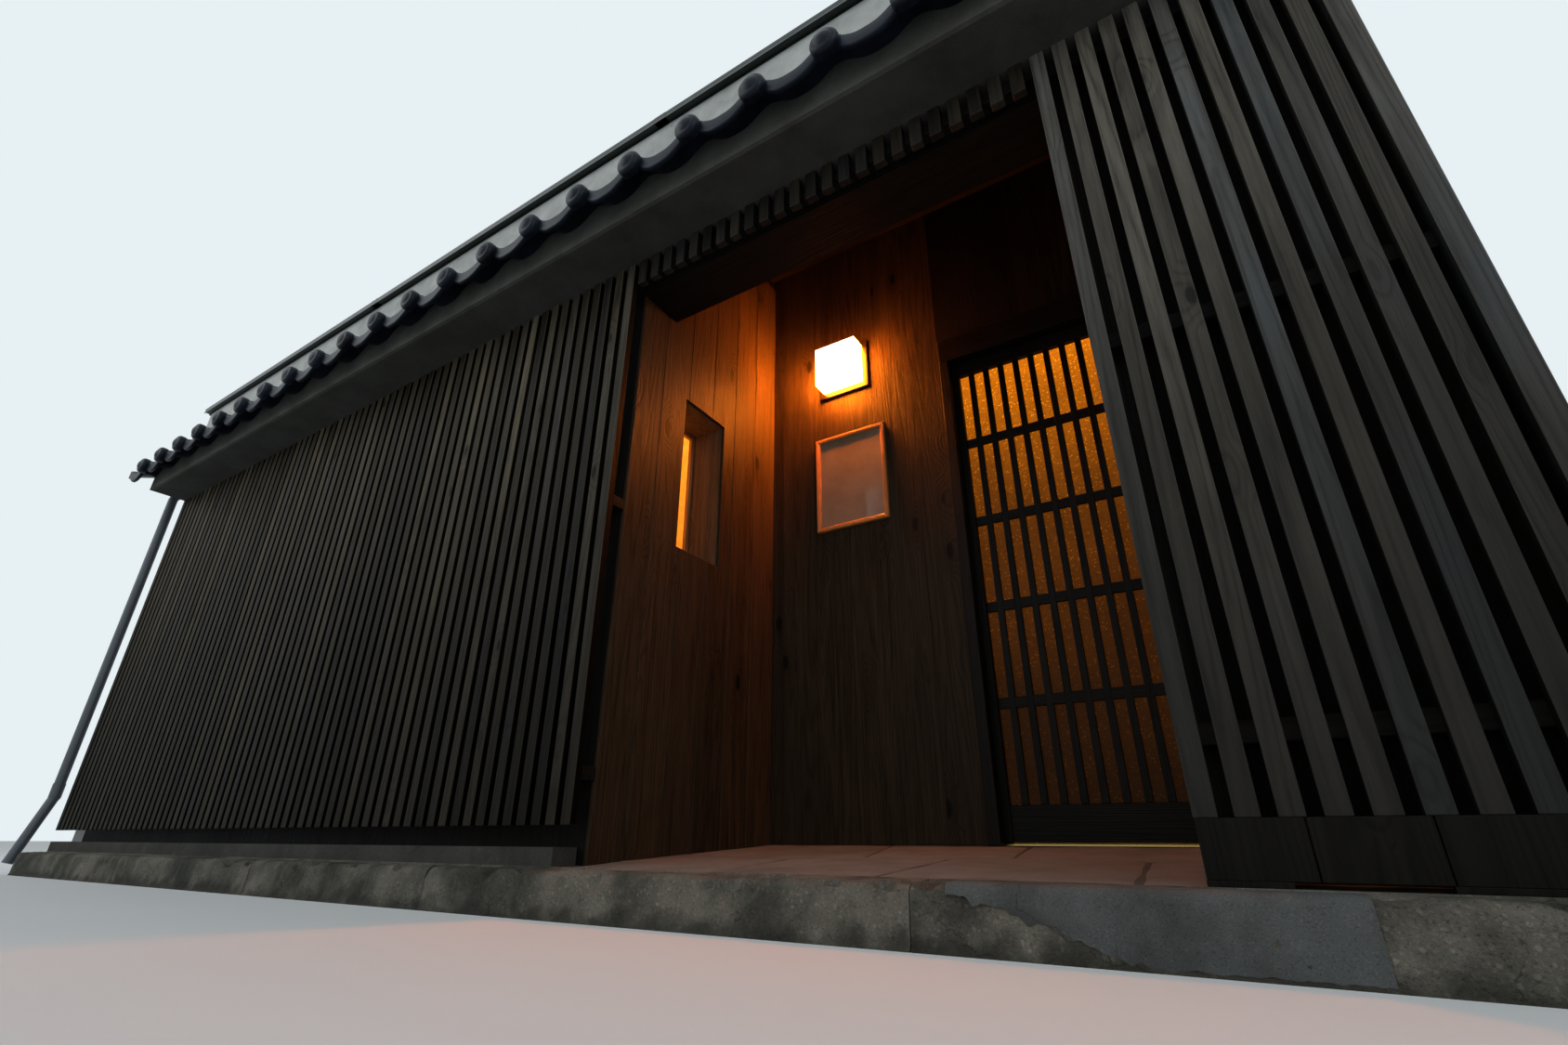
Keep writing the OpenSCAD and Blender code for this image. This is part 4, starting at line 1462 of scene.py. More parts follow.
    def stone_reach(self, middle: Array, ways: Array) -> Array:
        """How far the flagstones reach.

        In each direction a stone ends at the nearest of the lines halfway to the other middles and
        of the floor's edges, less half a joint.

        Args:
            middle: Middles of the stones.
            ways: Directions, one row each.

        Returns:
            Distances as (stone, direction).
        """
        apart = middle[None] - middle[:, None]
        distance = np.linalg.norm(apart, axis=2) + np.eye(len(middle)) * 9
        towards = (apart / distance[..., None]) @ ways.T
        halfway = (distance[..., None] / 2 - self.joint / 2) / np.maximum(towards, 0.05)
        reach = np.where(towards > 0.05, halfway, 9).min(1)
        for place, (edge, sign) in enumerate(zip(self.porch_edges(), (-1, 1, -1, 1))):
            axis = place // 2
            facing = sign * ways[None, :, axis]
            room = sign * (edge - middle[:, axis, None]) - 0.001
            reach = np.where(facing > 0.02, np.minimum(reach, room / np.maximum(facing, 0.02)), reach)
        return reach

    def flagstones(self) -> None:
        """Irregular flagstones: rings at shares of a stone's reach make its domed top and worn rim."""
        angle = np.linspace(0, 2 * math.pi, 120, endpoint=False)
        ways = np.stack([np.cos(angle), np.sin(angle)], 1)
        middle = self.stone_middles()
        reach = self.stone_reach(middle, ways)
        shares = np.array([0.0, 0.35, 0.7, 0.9, 0.97, 1.0, 1.0])
        drop = np.array([0.0, 0.0, 0.0002, 0.0006, 0.0016, 0.0040, 0.016])
        lengths = reach[:, None, :, None] * shares[None, :, None, None]
        flat = middle[:, None, None] + lengths * ways[None, None]
        points = np.concatenate([flat, (self.porch_level(flat[..., 1]) - drop[None, :, None])[..., None]], -1)
        points[..., 2] -= 0.0008 * (1 + ripple(points, 0.16, 5))
        sides = grid_quads(len(shares), len(angle), closed_columns=True)
        underside = ((len(shares) - 1) * len(angle) + np.arange(len(angle)))[None]
        parts = [Surface(stone.reshape(-1, 3), [sides, underside], np.full(stone.size // 3, seed))
                 for stone, seed in zip(points, seeded(len(points), 23))]
        make_piece("porch_flagstones", Surface.joined(parts), FLAGSTONE, smooth=35)

    def bed(self) -> None:
        """The mortar bed under the flagstones, with a strip at each end in front of the walls."""
        box, strip = Extent.of("porch_floor"), Extent.of("left_plinth")
        left, right, front, back = self.porch_edges()
        low, lip = box.foot, [front, self.porch_level(front) - self.bed_depth]
        top = box.top - self.bed_depth
        middle = [[front, low], [box.back, low], [box.back, top], [back, top], lip]
        strip_top = self.porch_level(strip.back) - self.bed_depth
        end = [[front, low], [strip.back, low], [strip.back, strip_top], lip]
        parts = [outlined(Axis.X, middle, left, right, 0.0005, 0.3),
                 outlined(Axis.X, end, left, strip.right, 0.0005, 0.4),
                 outlined(Axis.X, end, right, box.right, 0.0005, 0.6)]
        make_piece("porch_bed", Surface.joined(parts), MORTAR, replaces=["porch_floor"])


@dataclass
class BoardedWalls(SubAssembly):
    """The recess's boarded walls, its slit window, and the plain walls of the house.

    Attributes:
        board: Thickness of the boards.
        side_board: Width of the boards on the recess's side wall.
        back_board: Width of the boards on the wall with the door.
        rear_board: Width of the boards on the rear wall.
        joint: Gap between boards.
        chamfer: Width of the boards' chamfers.
        reveal: Thickness of the boards that line the slit window.
        clearance: Gap between the boards' ends and what they run up to.
    """

    board: float = 0.012
    side_board: float = 0.160
    back_board: float = 0.167
    rear_board: float = 0.182
    joint: float = 0.0016
    chamfer: float = 0.0016
    reveal: float = 0.006
    clearance: float = 0.002

    def build(self) -> None:
        """Builds and dresses the walls."""
        self.side_boards()
        self.side_core()
        self.window_reveal()
        self.back_walls()
        self.rear_wall()
        self.dress(DARK_BOARDS, "left_front_wall")
        self.dress(PLASTER, "left_party_wall", "right_party_wall")
        self.dress(PALE_WOOD, "slit_window_frame")
        self.dress(SLIT_GLASS, "slit_window_glass")

    @staticmethod
    def roof_foot(y: float) -> float:
        """Height of the main roof's underside at a depth in front of its ridge."""
        deck = Extent.of("roof_deck_front")
        return float(deck.foot + ROOF_SLOPE * max(0.0, y - deck.front))

    @staticmethod
    def round_window(board: Span, foot: float, top: float) -> list[list[list[float]]]:
        """Outlines of an upright board on the side wall, less the slit window.

        Args:
            board: The board's ends along Y.
            foot: Its lower end.
            top: Its upper end.

        Returns:
            One outline, or two where the window cuts the board in two.
        """
        window = Extent.of("slit_window_frame")
        (a, b), low, high, sill, head = board, window.front, window.back, window.foot, window.top
        if b <= low or a >= high:
            return [oblong(a, b, foot, top)]
        if a >= low and b <= high:
            return [oblong(a, b, foot, sill), oblong(a, b, head, top)]
        if a < low:
            notch = [[b, sill], [low, sill], [low, head], [b, head]]
            return [[[a, foot], [b, foot], *notch, [b, top], [a, top]]]
        notch = [[a, head], [high, head], [high, sill], [a, sill]]
        return [[[a, foot], [b, foot], [b, top], [a, top], *notch]]

    def side_boards(self) -> None:
        """Upright boards on the side wall, up to the soffit or the roof."""
        wall, window = Extent.of("recess_side_wall"), Extent.of("slit_window_frame")
        step, upper_back = Extent.of("soffit").top, Extent.of("upper_front_wall").back
        foot = Extent.of("porch_floor").foot + self.clearance
        inner_end, joint = Extent.of("recess_wall_left").front, window.front + 0.017
        runs = board_runs(wall.front, inner_end, joint, self.side_board)
        parts = []
        for seed, (start, end) in zip(seeded(40, 7), runs):
            top = (step if start < upper_back else self.roof_foot(start)) - self.clearance
            outlines = self.round_window((start + self.joint / 2, end - self.joint / 2), foot, top)
            parts += [outlined(Axis.X, outline, wall.right - self.board, wall.right, self.chamfer, seed)
                      for outline in outlines]
        make_piece("side_wall_boards", Surface.joined(parts), STAINED_BOARDS)

    def side_core(self) -> None:
        """The side wall behind its boards, in four parts round the slit window."""
        wall, window = Extent.of("recess_side_wall"), Extent.of("slit_window_frame")
        step, upper_back = Extent.of("soffit").top, Extent.of("upper_front_wall").back
        low, high, under = window.front, window.back, self.roof_foot
        outlines = [
            [[wall.front, wall.foot], [low, wall.foot], [low, under(low)], [upper_back, under(upper_back)],
             [upper_back, step], [wall.front, step]],
            oblong(low, high, wall.foot, window.foot),
            [[low, window.top], [high, window.top], [high, under(high)], [low, under(low)]],
            [[high, wall.foot], [wall.back, wall.foot], [wall.back, under(wall.back)], [high, under(high)]],
        ]
        core = [outlined(Axis.X, outline, wall.left, wall.right - self.board, CORE_CHAMFER, 0.35 + 0.1 * i)
                for i, outline in enumerate(outlines)]
        make_piece("side_wall_core", Surface.joined(core), DARK_BOARDS,
                   replaces=["recess_side_wall"])

    def window_reveal(self) -> None:
        """Thin boards that line the slit window's opening, paler than the other boards as painted light from
        the window.
        """
        window, outer = Extent.of("slit_window_frame"), Extent.of("recess_side_wall").right - self.board
        upright = oblong(window.right, outer, window.foot, window.top)
        level = oblong(window.right, outer, window.front, window.back)
        linings = [(Axis.Y, upright, window.back, -1), (Axis.Y, upright, window.front, 1),
                   (Axis.Z, level, window.top, -1), (Axis.Z, level, window.foot, 1)]
        lining = [outlined(axis, outline, back, back + side * self.reveal, 0.001, seed)
                  for (axis, outline, back, side), seed in zip(linings, seeded(4, 3))]
        make_piece("slit_window_reveal", Surface.joined(lining), REVEAL_BOARDS_PAINTED_LIGHT)

    def back_walls(self) -> None:
        """Upright boards on the wall with the door, beside and over its frame, before a core; the boards over
        the frame are near-black, as painted shade.
        """
        left, right = Extent.of("recess_wall_left"), Extent.of("recess_wall_right")
        over = Extent.of("recess_wall_over_door")
        face, core = left.front, left.front + self.board
        top = self.roof_foot(face) - self.clearance
        zones = [(-math.inf, over.left, left.foot), (over.left, over.right, over.foot),
                 (over.right, math.inf, right.foot)]
        beside, above = [], []
        runs = board_runs(left.left, right.right, left.left + 0.055, self.back_board)
        for seed, (start, end) in zip(seeded(40, 12), runs):
            for zone_start, zone_end, foot in zones:
                a, b = max(start + self.joint / 2, zone_start), min(end - self.joint / 2, zone_end)
                if b - a > 0.004:
                    board = outlined(Axis.Y, oblong(a, b, foot, top)[::-1], core, face, self.chamfer, seed)
                    (beside if a < over.left else above).append(board)
        make_piece("back_wall_boards", Surface.joined(beside), STAINED_BOARDS)
        # The boards over the door take the near-black finish: painted shade under the lintel.
        make_piece("over_door_boards", Surface.joined(above), DARK_BOARDS)
        spans = [((box.left, box.right), (core, box.back), (box.foot, box.top))
                 for box in (left, right, over)]
        make_piece("back_wall_core", blocks(spans, CORE_CHAMFER, seeded(3, 31)), DARK_BOARDS,
                   replaces=["recess_wall_left", "recess_wall_right", "recess_wall_over_door"])
        self.dress(DARK_BOARDS, "pocket_lining")

    def rear_wall(self) -> None:
        """The rear wall repeats the front: dark boards below and plaster above."""
        wall, top = Extent.of("rear_wall"), Extent.of("left_screen").top
        sill, core = wall.foot + 0.16, wall.back - self.board
        places = np.arange(wall.left, wall.right - 0.02, self.rear_board)
        ends = np.append(places[1:], wall.right)
        boards = block_row(Axis.X, places + self.joint / 2, ends - places - self.joint,
                           [(core, wall.back), (sill, top)], 0.002, 77)
        make_piece("rear_boards", boards, STAINED_BOARDS)
        across = (wall.left, wall.right)
        spans = [(across, (wall.front, wall.back - 0.001), (wall.foot, sill)),
                 (across, (wall.front, core), (sill, top)),
                 (across, (wall.front, wall.back), (top, wall.top))]
        make_piece("rear_core", blocks(spans, 0.0008, seeded(3, 5)), PLASTER,
                   replaces=["rear_wall"])


@dataclass
class SlattedScreens(SubAssembly):
    """The two slatted screens, the short slats over the entry and what stands behind them.

    Attributes:
        width: Face width of a slat.
        gap: Gap between slats.
        depth: Depth of a slat, and of the skirt's boards.
        rail: Height of a rail.
        rail_levels: Middles of the rails above the slats' bottom.
        end_board: Width of the board that ends the right screen.
        chamfer: Width of the slats' and rails' chamfers.
        skirt_joints: Places of the skirt's joints, from its left end.
        skirt_gap: Ends of the stretch where the skirt stops short of the ground, from its left end.
        skirt_foot: How far it stops short.
    """

    width: float = 0.038
    gap: float = 0.024
    depth: float = 0.027
    rail: float = 0.040
    rail_levels: tuple[float, ...] = (0.140, 1.020, 1.980)
    end_board: float = 0.043
    chamfer: float = 0.0016
    skirt_joints: tuple[float, ...] = (0.0, 0.159, 0.320, 0.478, 0.584)
    skirt_gap: Span = (0.122, 0.317)
    skirt_foot: float = 0.009

    def build(self) -> None:
        """Builds and dresses the screens."""
        self.left()
        self.stubs()
        self.right()
        self.skirt()
        self.dress(DARK_BOARDS, "right_backing")
        self.dress(LINTEL_BOARDS, "entry_lintel")

    def rails(self, box: Extent, end: float, back: float, salt: int) -> Surface:
        """Level rails behind a screen's slats.

        Args:
            box: The screen's extent.
            end: Right end of the rails.
            back: Depth of their backs.
            salt: Salt of their seeds.

        Returns:
            The rails' surfaces.
        """
        spans = [((box.left + 0.001, end), (box.front + self.depth, back),
                  (box.foot + level - self.rail / 2, box.foot + level + self.rail / 2))
                 for level in self.rail_levels]
        return blocks(spans, self.chamfer, seeded(len(spans), salt))

    def slats(self, box: Extent, end: float, salt: int) -> Surface:
        """Upright slats, spread evenly over a screen.

        Args:
            box: The screen's extent.
            end: Right end of the last slat.
            salt: Salt of their seeds.

        Returns:
            The slats' surfaces.
        """
        starts = even_places(box.left, end, self.width, self.gap)
        face, upright = (box.front, box.front + self.depth), (box.foot, box.top)
        return block_row(Axis.X, starts, self.width, [face, upright], self.chamfer, salt)

    def left(self) -> None:
        """The wide screen left of the entry, its slats in a darker copy of the slats' finish as painted
        shade.
        """
        box, side = Extent.of("left_screen"), Extent.of("recess_side_wall")
        make_piece("left_slats", self.slats(box, box.right, 101), LEFT_SLATS_PAINTED_SHADE,
                   replaces=["left_screen"])
        make_piece("left_rails", self.rails(box, side.right - 0.001, box.back, 102), RAIL_TIMBER)

    def stubs(self) -> None:
        """The short slats over the entry, with the rail that holds them, in a darker copy of the slats'
        finish as painted shade under the eave.
        """
        box = Extent.of("entry_stubs")
        rail_top = box.top - self.rail / 2
        rail = blocks([[(box.left, box.right), (box.front + self.depth, box.back),
                        (rail_top - self.rail, rail_top)]], self.chamfer, seeded(1, 112))
        make_piece("stub_slats", Surface.joined([self.slats(box, box.right, 111), rail]), STUB_SLATS_PAINTED_SHADE,
                   replaces=["entry_stubs"])

    def right(self) -> None:
        """The narrow screen right of the entry, with its end board."""
        box, backing = Extent.of("right_screen"), Extent.of("right_backing")
        last = box.right - self.end_board
        board = blocks([[(last, box.right), (box.front, box.back), (box.foot, box.top)]], 0.0025,
                       seeded(1, 124))
        make_piece("right_slats", Surface.joined([self.slats(box, last - self.gap, 121), board]),
                   WEATHERED_SLATS, replaces=["right_screen"])
        make_piece("right_rails", self.rails(box, last, backing.front - 0.0005, 122), RAIL_TIMBER)

    def skirt(self) -> None:
        """Upright boards under the right screen, two of which stop short of the ground, and a board across
        its back that is there only as painted shade.
        """
        box, foot = Extent.of("right_skirt"), Extent.of("right_skirt").foot + self.skirt_foot
        left, right, front, back, top = box.left, box.right, box.front, box.back, box.top
        face = (front, front + self.depth)
        edges = np.append(np.array(self.skirt_joints) + left, right)
        spans = [[(a + 0.001, b - 0.001), face, (foot, top)] for a, b in zip(edges[:-1], edges[1:])]
        boards = blocks(spans, 0.002, seeded(len(spans), 131))
        inner, behind = (left + self.depth, right - self.depth), (face[1], back)
        # The last block is a board across the skirt's back, put in to darken the gap under the skirt: painted
        # shade.
        ends = blocks([[(left, inner[0]), behind, (foot, top - 0.001)],
                       [(inner[1], right), behind, (foot, top - 0.001)],
                       [inner, (back - 0.020, back), (box.foot + 0.0055, top - 0.001)]],
                      0.002, seeded(3, 133))
        gap = [left + place for place in self.skirt_gap]
        feet = blocks([[(left, gap[0]), face, (box.foot, foot + 0.001)],
                       [(gap[1], right), face, (box.foot, foot + 0.001)]], 0.001, seeded(2, 137))
        make_piece("skirt_boards", Surface.joined([boards, ends, feet]), SKIRT_BOARDS,
                   replaces=["right_skirt"])


@dataclass
class SlidingDoor(SubAssembly):
    """The lattice door, its frame and its track.

    Attributes:
        jamb: Face width of a jamb.
        bar: Face width of an upright bar.
        columns: Glass columns.
        rows: Glass rows.
        cross_bar: Height of a level bar.
        clear: Gap between the leaf's faces and the frame.
        lap: How far the head hangs over the leaf's top.
        wheel_inset: Distance of a wheel's middle from the leaf's end.
        frame_chamfer: Width of the frame's chamfers.
        leaf_chamfer: Width of the leaf's chamfers.
        bar_chamfer: Width of the bars' chamfers.
    """

    jamb: float = 0.040
    bar: float = 0.024
    columns: int = 13
    rows: int = 5
    cross_bar: float = 0.038
    clear: float = 0.006
    lap: float = 0.008
    wheel_inset: float = 0.110
    frame_chamfer: float = 0.0022
    leaf_chamfer: float = 0.002
    bar_chamfer: float = 0.0015

    def build(self) -> None:
        """Builds and dresses the door."""
        self.fixed_frame()
        self.leaf()
        self.lattice()
        self.dress(BRASS, "door_track")
        self.dress(DOOR_GLASS, "door_glass")

    def fixed_frame(self) -> None:
        """Jambs before and behind the pocket, the lock jamb and the deep head."""
        box, leaf = Extent.of("door_frame"), Extent.of("door_leaf")
        head, slot = leaf.top - self.lap, leaf.top + 0.005
        left, right, top = box.left, box.right, box.top
        front, back = (box.front, leaf.front - self.clear), (leaf.back + self.clear, box.back)
        upright, lock = (box.foot, head), right - self.jamb
        jambs = [[(left, left + self.jamb), front, upright], [(left, left + self.jamb), back, upright],
                 [(lock, right), (box.front, box.back), upright]]
        make_piece("door_jambs", blocks(jambs, self.frame_chamfer, seeded(3, 201)), JOINERY)
        between = (front[1], back[0])
        heads = [[(left, right), front, (head, top)], [(left, right), back, (head, top)],
                 [(left, lock), between, (slot, top)], [(lock, right), between, (head, top)]]
        make_piece("door_head", blocks(heads, self.frame_chamfer, np.full(4, 0.4)), JOINERY_LEVEL,
                   replaces=["door_frame"])

    def leaf(self) -> None:
        """Stiles and rails of the leaf, with its wheels."""
        box, panes = Extent.of("door_leaf"), Extent.of("door_lattice")
        foot, inset = Extent.of("door_track").top + 0.005, 0.0005
        deep, upright = (box.front, box.back), (foot, box.top)
        stiles = [[(box.left, panes.left), deep, upright], [(panes.right, box.right), deep, upright]]
        make_piece("leaf_stiles", blocks(stiles, self.leaf_chamfer, seeded(2, 211)), JOINERY,
                   Body.DOOR)
        across, sunk = (panes.left, panes.right), (box.front + inset, box.back - inset)
        rails = [[across, sunk, (foot, panes.foot)], [across, sunk, (panes.top, box.top - inset)]]
        make_piece("leaf_rails", blocks(rails, self.leaf_chamfer, seeded(2, 213)), JOINERY_LEVEL,
                   Body.DOOR, replaces=["door_leaf"])
        turn = np.linspace(-math.pi / 2, math.pi / 2, 8)
        rim = np.stack([0.0105 + 0.0015 * np.cos(turn), 0.005 * np.sin(turn)], 1)
        wheel = np.concatenate([[[0.0, -0.005]], rim, [[0.0, 0.005]]])
        wheels = [lathe(wheel, [x, (box.front + box.back) / 2, box.foot + 0.012], 28, 0.5)
                  for x in (box.left + self.wheel_inset, box.right - self.wheel_inset)]
        make_piece("leaf_wheels", Surface.joined(wheels), BRASS, Body.DOOR, smooth=40)

    def lattice(self) -> None:
        """Upright bars with level bars halved into them."""
        box = Extent.of("door_lattice")
        pane_w = (box.right - box.left - (self.columns - 1) * self.bar) / self.columns
        starts = box.left + pane_w * np.arange(1, self.columns) + self.bar * np.arange(self.columns - 1)
        bars = block_row(Axis.X, starts, self.bar, [(box.front, box.back), (box.foot, box.top)],
                         self.bar_chamfer, 221)
        pane_h = (box.top - box.foot - (self.rows - 1) * self.cross_bar) / self.rows
        levels = box.foot + pane_h * np.arange(1, self.rows) + self.cross_bar * np.arange(self.rows - 1)
        level_bars = block_row(Axis.Z, levels, self.cross_bar,
                               [(box.left, box.right), (box.front + 0.0008, box.back)],
                               self.bar_chamfer, 223)
        make_piece("lattice_bars", bars, JOINERY, Body.DOOR, replaces=["door_lattice"])
        make_piece("lattice_level_bars", level_bars, JOINERY_LEVEL, Body.DOOR)


def tile_wave(x: Array, pitch: float) -> Array:
    """Height of the pantiles' wave along the street, with a trough on the house's middle.

    It is a raised cosine to a power, so that troughs are wide and crests round.

    Args:
        x: Places along the street.
        pitch: Distance from crest to crest.

    Returns:
        The heights.
    """
    return TILE_WAVE * (0.5 - 0.5 * np.cos(2 * math.pi * x / pitch)) ** CREST_SHARPNESS


@dataclass
class BoxedEave(SubAssembly):
    """The boxed eave with its boss-ended tiles.

    Attributes:
        lip_drop: How far a tile's lip hangs below it.
        lip_thick: Thickness of the lip, front to back.
        lap_rise: How much higher a tile's right edge is, where it laps over its neighbour.
        lap: Width of that edge.
        boss_radius: Radius of a boss.
        boss_reach: How far a boss stands before the lip.
        boss_drop: Distance from a crest's top down to its boss's centre.
    """

    lip_drop: float = 0.030
    lip_thick: float = 0.018
    lap_rise: float = 0.0022
    lap: float = 0.040
    boss_radius: float = 0.048
    boss_reach: float = 0.040
    boss_drop: float = 0.035

    def build(self) -> None:
        """Builds and dresses the eave."""
        self.tiles()
        # The soffit and end caps take the darker render: painted shade under the eave.
        self.dress(EAVE_RENDER_PAINTED_SHADE, "soffit", "eave_end_caps")
        self.dress(FASCIA_RENDER, "fascia")
        self.dress(ROOF_TIMBER, "eave_deck")

    def lip_profile(self, run: float) -> Array:
        """Section of a tile at a trough, as [depth behind the lip's front, height over its underside].

        It goes from the lip's round foot up its front, over its round brow and back along the top,
        and returns along the underside.

        Args:
            run: Depth of the tile.

        Returns:
            The closed profile.
        """
        thick, top = TILE_THICKNESS * STEEP, TILE_THICKNESS * STEEP + 0.003
        foot, brow, lip = 0.007, 0.006, self.lip_thick
        turn = np.linspace(0, math.pi / 2, 5)
        return np.concatenate([
            np.stack([foot - foot * np.sin(turn), foot - foot * np.cos(turn) - self.lip_drop], 1),
            np.stack([brow - brow * np.cos(turn), top - brow + brow * np.sin(turn)], 1),
            [[lip * 0.8, top + 0.004], [lip * 1.5, thick + ROOF_SLOPE * lip * 1.5],
             [run * 0.5, thick + ROOF_SLOPE * run * 0.5], [run, thick + ROOF_SLOPE * run],
             [run, ROOF_SLOPE * run], [run * 0.5, ROOF_SLOPE * run * 0.5], [lip + 0.004, ROOF_SLOPE * lip],
             [lip, 0.002], [lip, 0.003 - self.lip_drop], [lip - 0.003, -self.lip_drop]],
        ])

    def boss_profile(self) -> Array:
        """A boss's section: a flat dome, a round shoulder and a straight neck.

        Returns:
            Points as [radius, depth].
        """
        r, reach, shoulder, bulge = self.boss_radius, self.boss_reach, 0.017, 0.010
        turn = np.linspace(0, math.pi / 2, 9)
        share = np.linspace(0, 1, 9)
        dome = np.stack([share * (r - shoulder), -reach + bulge * share ** 2], 1)
        edge = np.stack([r - shoulder + shoulder * np.sin(turn),
                         -reach + bulge + shoulder - shoulder * np.cos(turn)], 1)
        return np.concatenate([dome, edge[1:], [[r, -0.001], [r - 0.002, 0.010], [0.0, 0.010]]])

    def tiles(self) -> None:
        """The eave tiles.

        Across a tile the whole section is lifted by the wave, and near its right edge by a few
        millimetres more, where it laps over its neighbour. A turned, domed boss ends each crest.
        """
        box, wall, fascia = Extent.of("eave_tiles"), Extent.of("upper_front_wall"), Extent.of("fascia")
        pitch = (fascia.right - fascia.left) / TILE_COLUMNS
        lip_y, lip_z = box.front + self.boss_reach, box.foot + self.lip_drop
        profile = self.lip_profile(wall.front - lip_y)
        half, wing = TILE_COLUMNS / 2, (TILE_COLUMNS / 2 + 0.5) * pitch
        joint = 0.001
        overlap = self.boss_radius + joint
        draw = np.random.default_rng(301)
        parts, bosses = [], []
        for k in range(TILE_COLUMNS + 1):
            last = k == TILE_COLUMNS
            start = -wing if k == 0 else (k - half - 0.5) * pitch + overlap + joint
            end = wing if last else (k - half + 0.5) * pitch + overlap
            xs = np.linspace(start, end, 24 if last else 44)
            seed, settle = float(draw.random()), draw.uniform(-0.0012, 0.0006)
            lift = tile_wave(xs, pitch) * STEEP + settle
            if not last:
                lift += self.lap_rise * np.clip((xs - end + self.lap) / self.lap, 0, 1) ** 2
                crest = (TILE_THICKNESS + TILE_WAVE) * STEEP - self.boss_drop + settle
                bosses.append(lathe(self.boss_profile(), [end - overlap, lip_y, lip_z + crest], 36, seed))
            heights = lip_z + profile[:, 1] + lift[:, None]
            parts.append(sweep(stations(xs, lip_y + profile[:, 0], heights), seed))
        make_piece("eave_pantiles", Surface.joined(parts), SMOKED_TILE, smooth=38,
                   replaces=["eave_tiles"])
        make_piece("eave_bosses", Surface.joined(bosses), SMOKED_TILE, smooth=50)


@dataclass
class UpperWall(SubAssembly):
    """The plastered wall over the eave and its metal coping.

    Attributes:
        sheet_length: Length of one folded sheet of the coping.
        drip: How far its sides lie behind its drip edges.
        hem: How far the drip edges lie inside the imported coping.
        fall: How much lower its rear side is.
        cap_half: Half the length of the cap over a joint.
    """

    sheet_length: float = 1.82
    drip: float = 0.006
    hem: float = 0.004
    fall: float = 0.017
    cap_half: float = 0.030

    def build(self) -> None:
        """Builds and dresses the wall."""
        self.dress(PLASTER, "upper_front_wall")
        self.coping()

    def hood(self, grow: float) -> Array:
        """The coping's closed section, a low hood with a drip edge bent outwards on each side.

        Args:
            grow: How much wider and higher it is.

        Returns:
            Points as [depth, height].
        """
        box, wall, drip, hem = Extent.of("coping"), Extent.of("upper_front_wall"), self.drip, self.hem
        front, back, foot, top = box.front - grow, box.back + grow, box.foot, box.top + grow
        inner = foot + 0.010
        return np.array([
            [front + hem, foot], [front + hem + 0.003, foot], [box.front + drip + hem, inner],
            [wall.front - 0.002, inner], [wall.front - 0.002, foot + 0.001],
            [wall.back + 0.002, foot + 0.001], [wall.back + 0.002, inner],
            [box.back - drip - hem, inner], [back - hem - 0.003, foot], [back - hem, foot],
            [back - drip, foot + 0.012], [back - drip, top - self.fall - 0.003],
            [box.back - drip - 0.003, top - self.fall - 0.001], [box.front + drip + 0.003, top - 0.004],
            [front + drip, top - 0.006], [front + drip, foot + 0.012],
        ])

    def coping(self) -> None:
        """Folded sheets along the wall's top, with a thin cap of the same section over each joint."""
        box, joint = Extent.of("coping"), 0.001
        count = round((box.right - box.left) / self.sheet_length)
        cuts = np.linspace(box.left, box.right, count + 1)
        lengths = [(a + joint, b - joint, 0.0, seed) for a, b, seed in zip(cuts[:-1], cuts[1:], seeded(9, 8))]
        lengths += [(cut - self.cap_half, cut + self.cap_half, 0.0007, 0.5) for cut in cuts[1:-1]]
        parts = [sweep(stations([start, end], *self.hood(grow).T), seed)
                 for start, end, grow, seed in lengths]
        make_piece("coping_sheets", Surface.joined(parts), COATED_SHEET, replaces=["coping"])


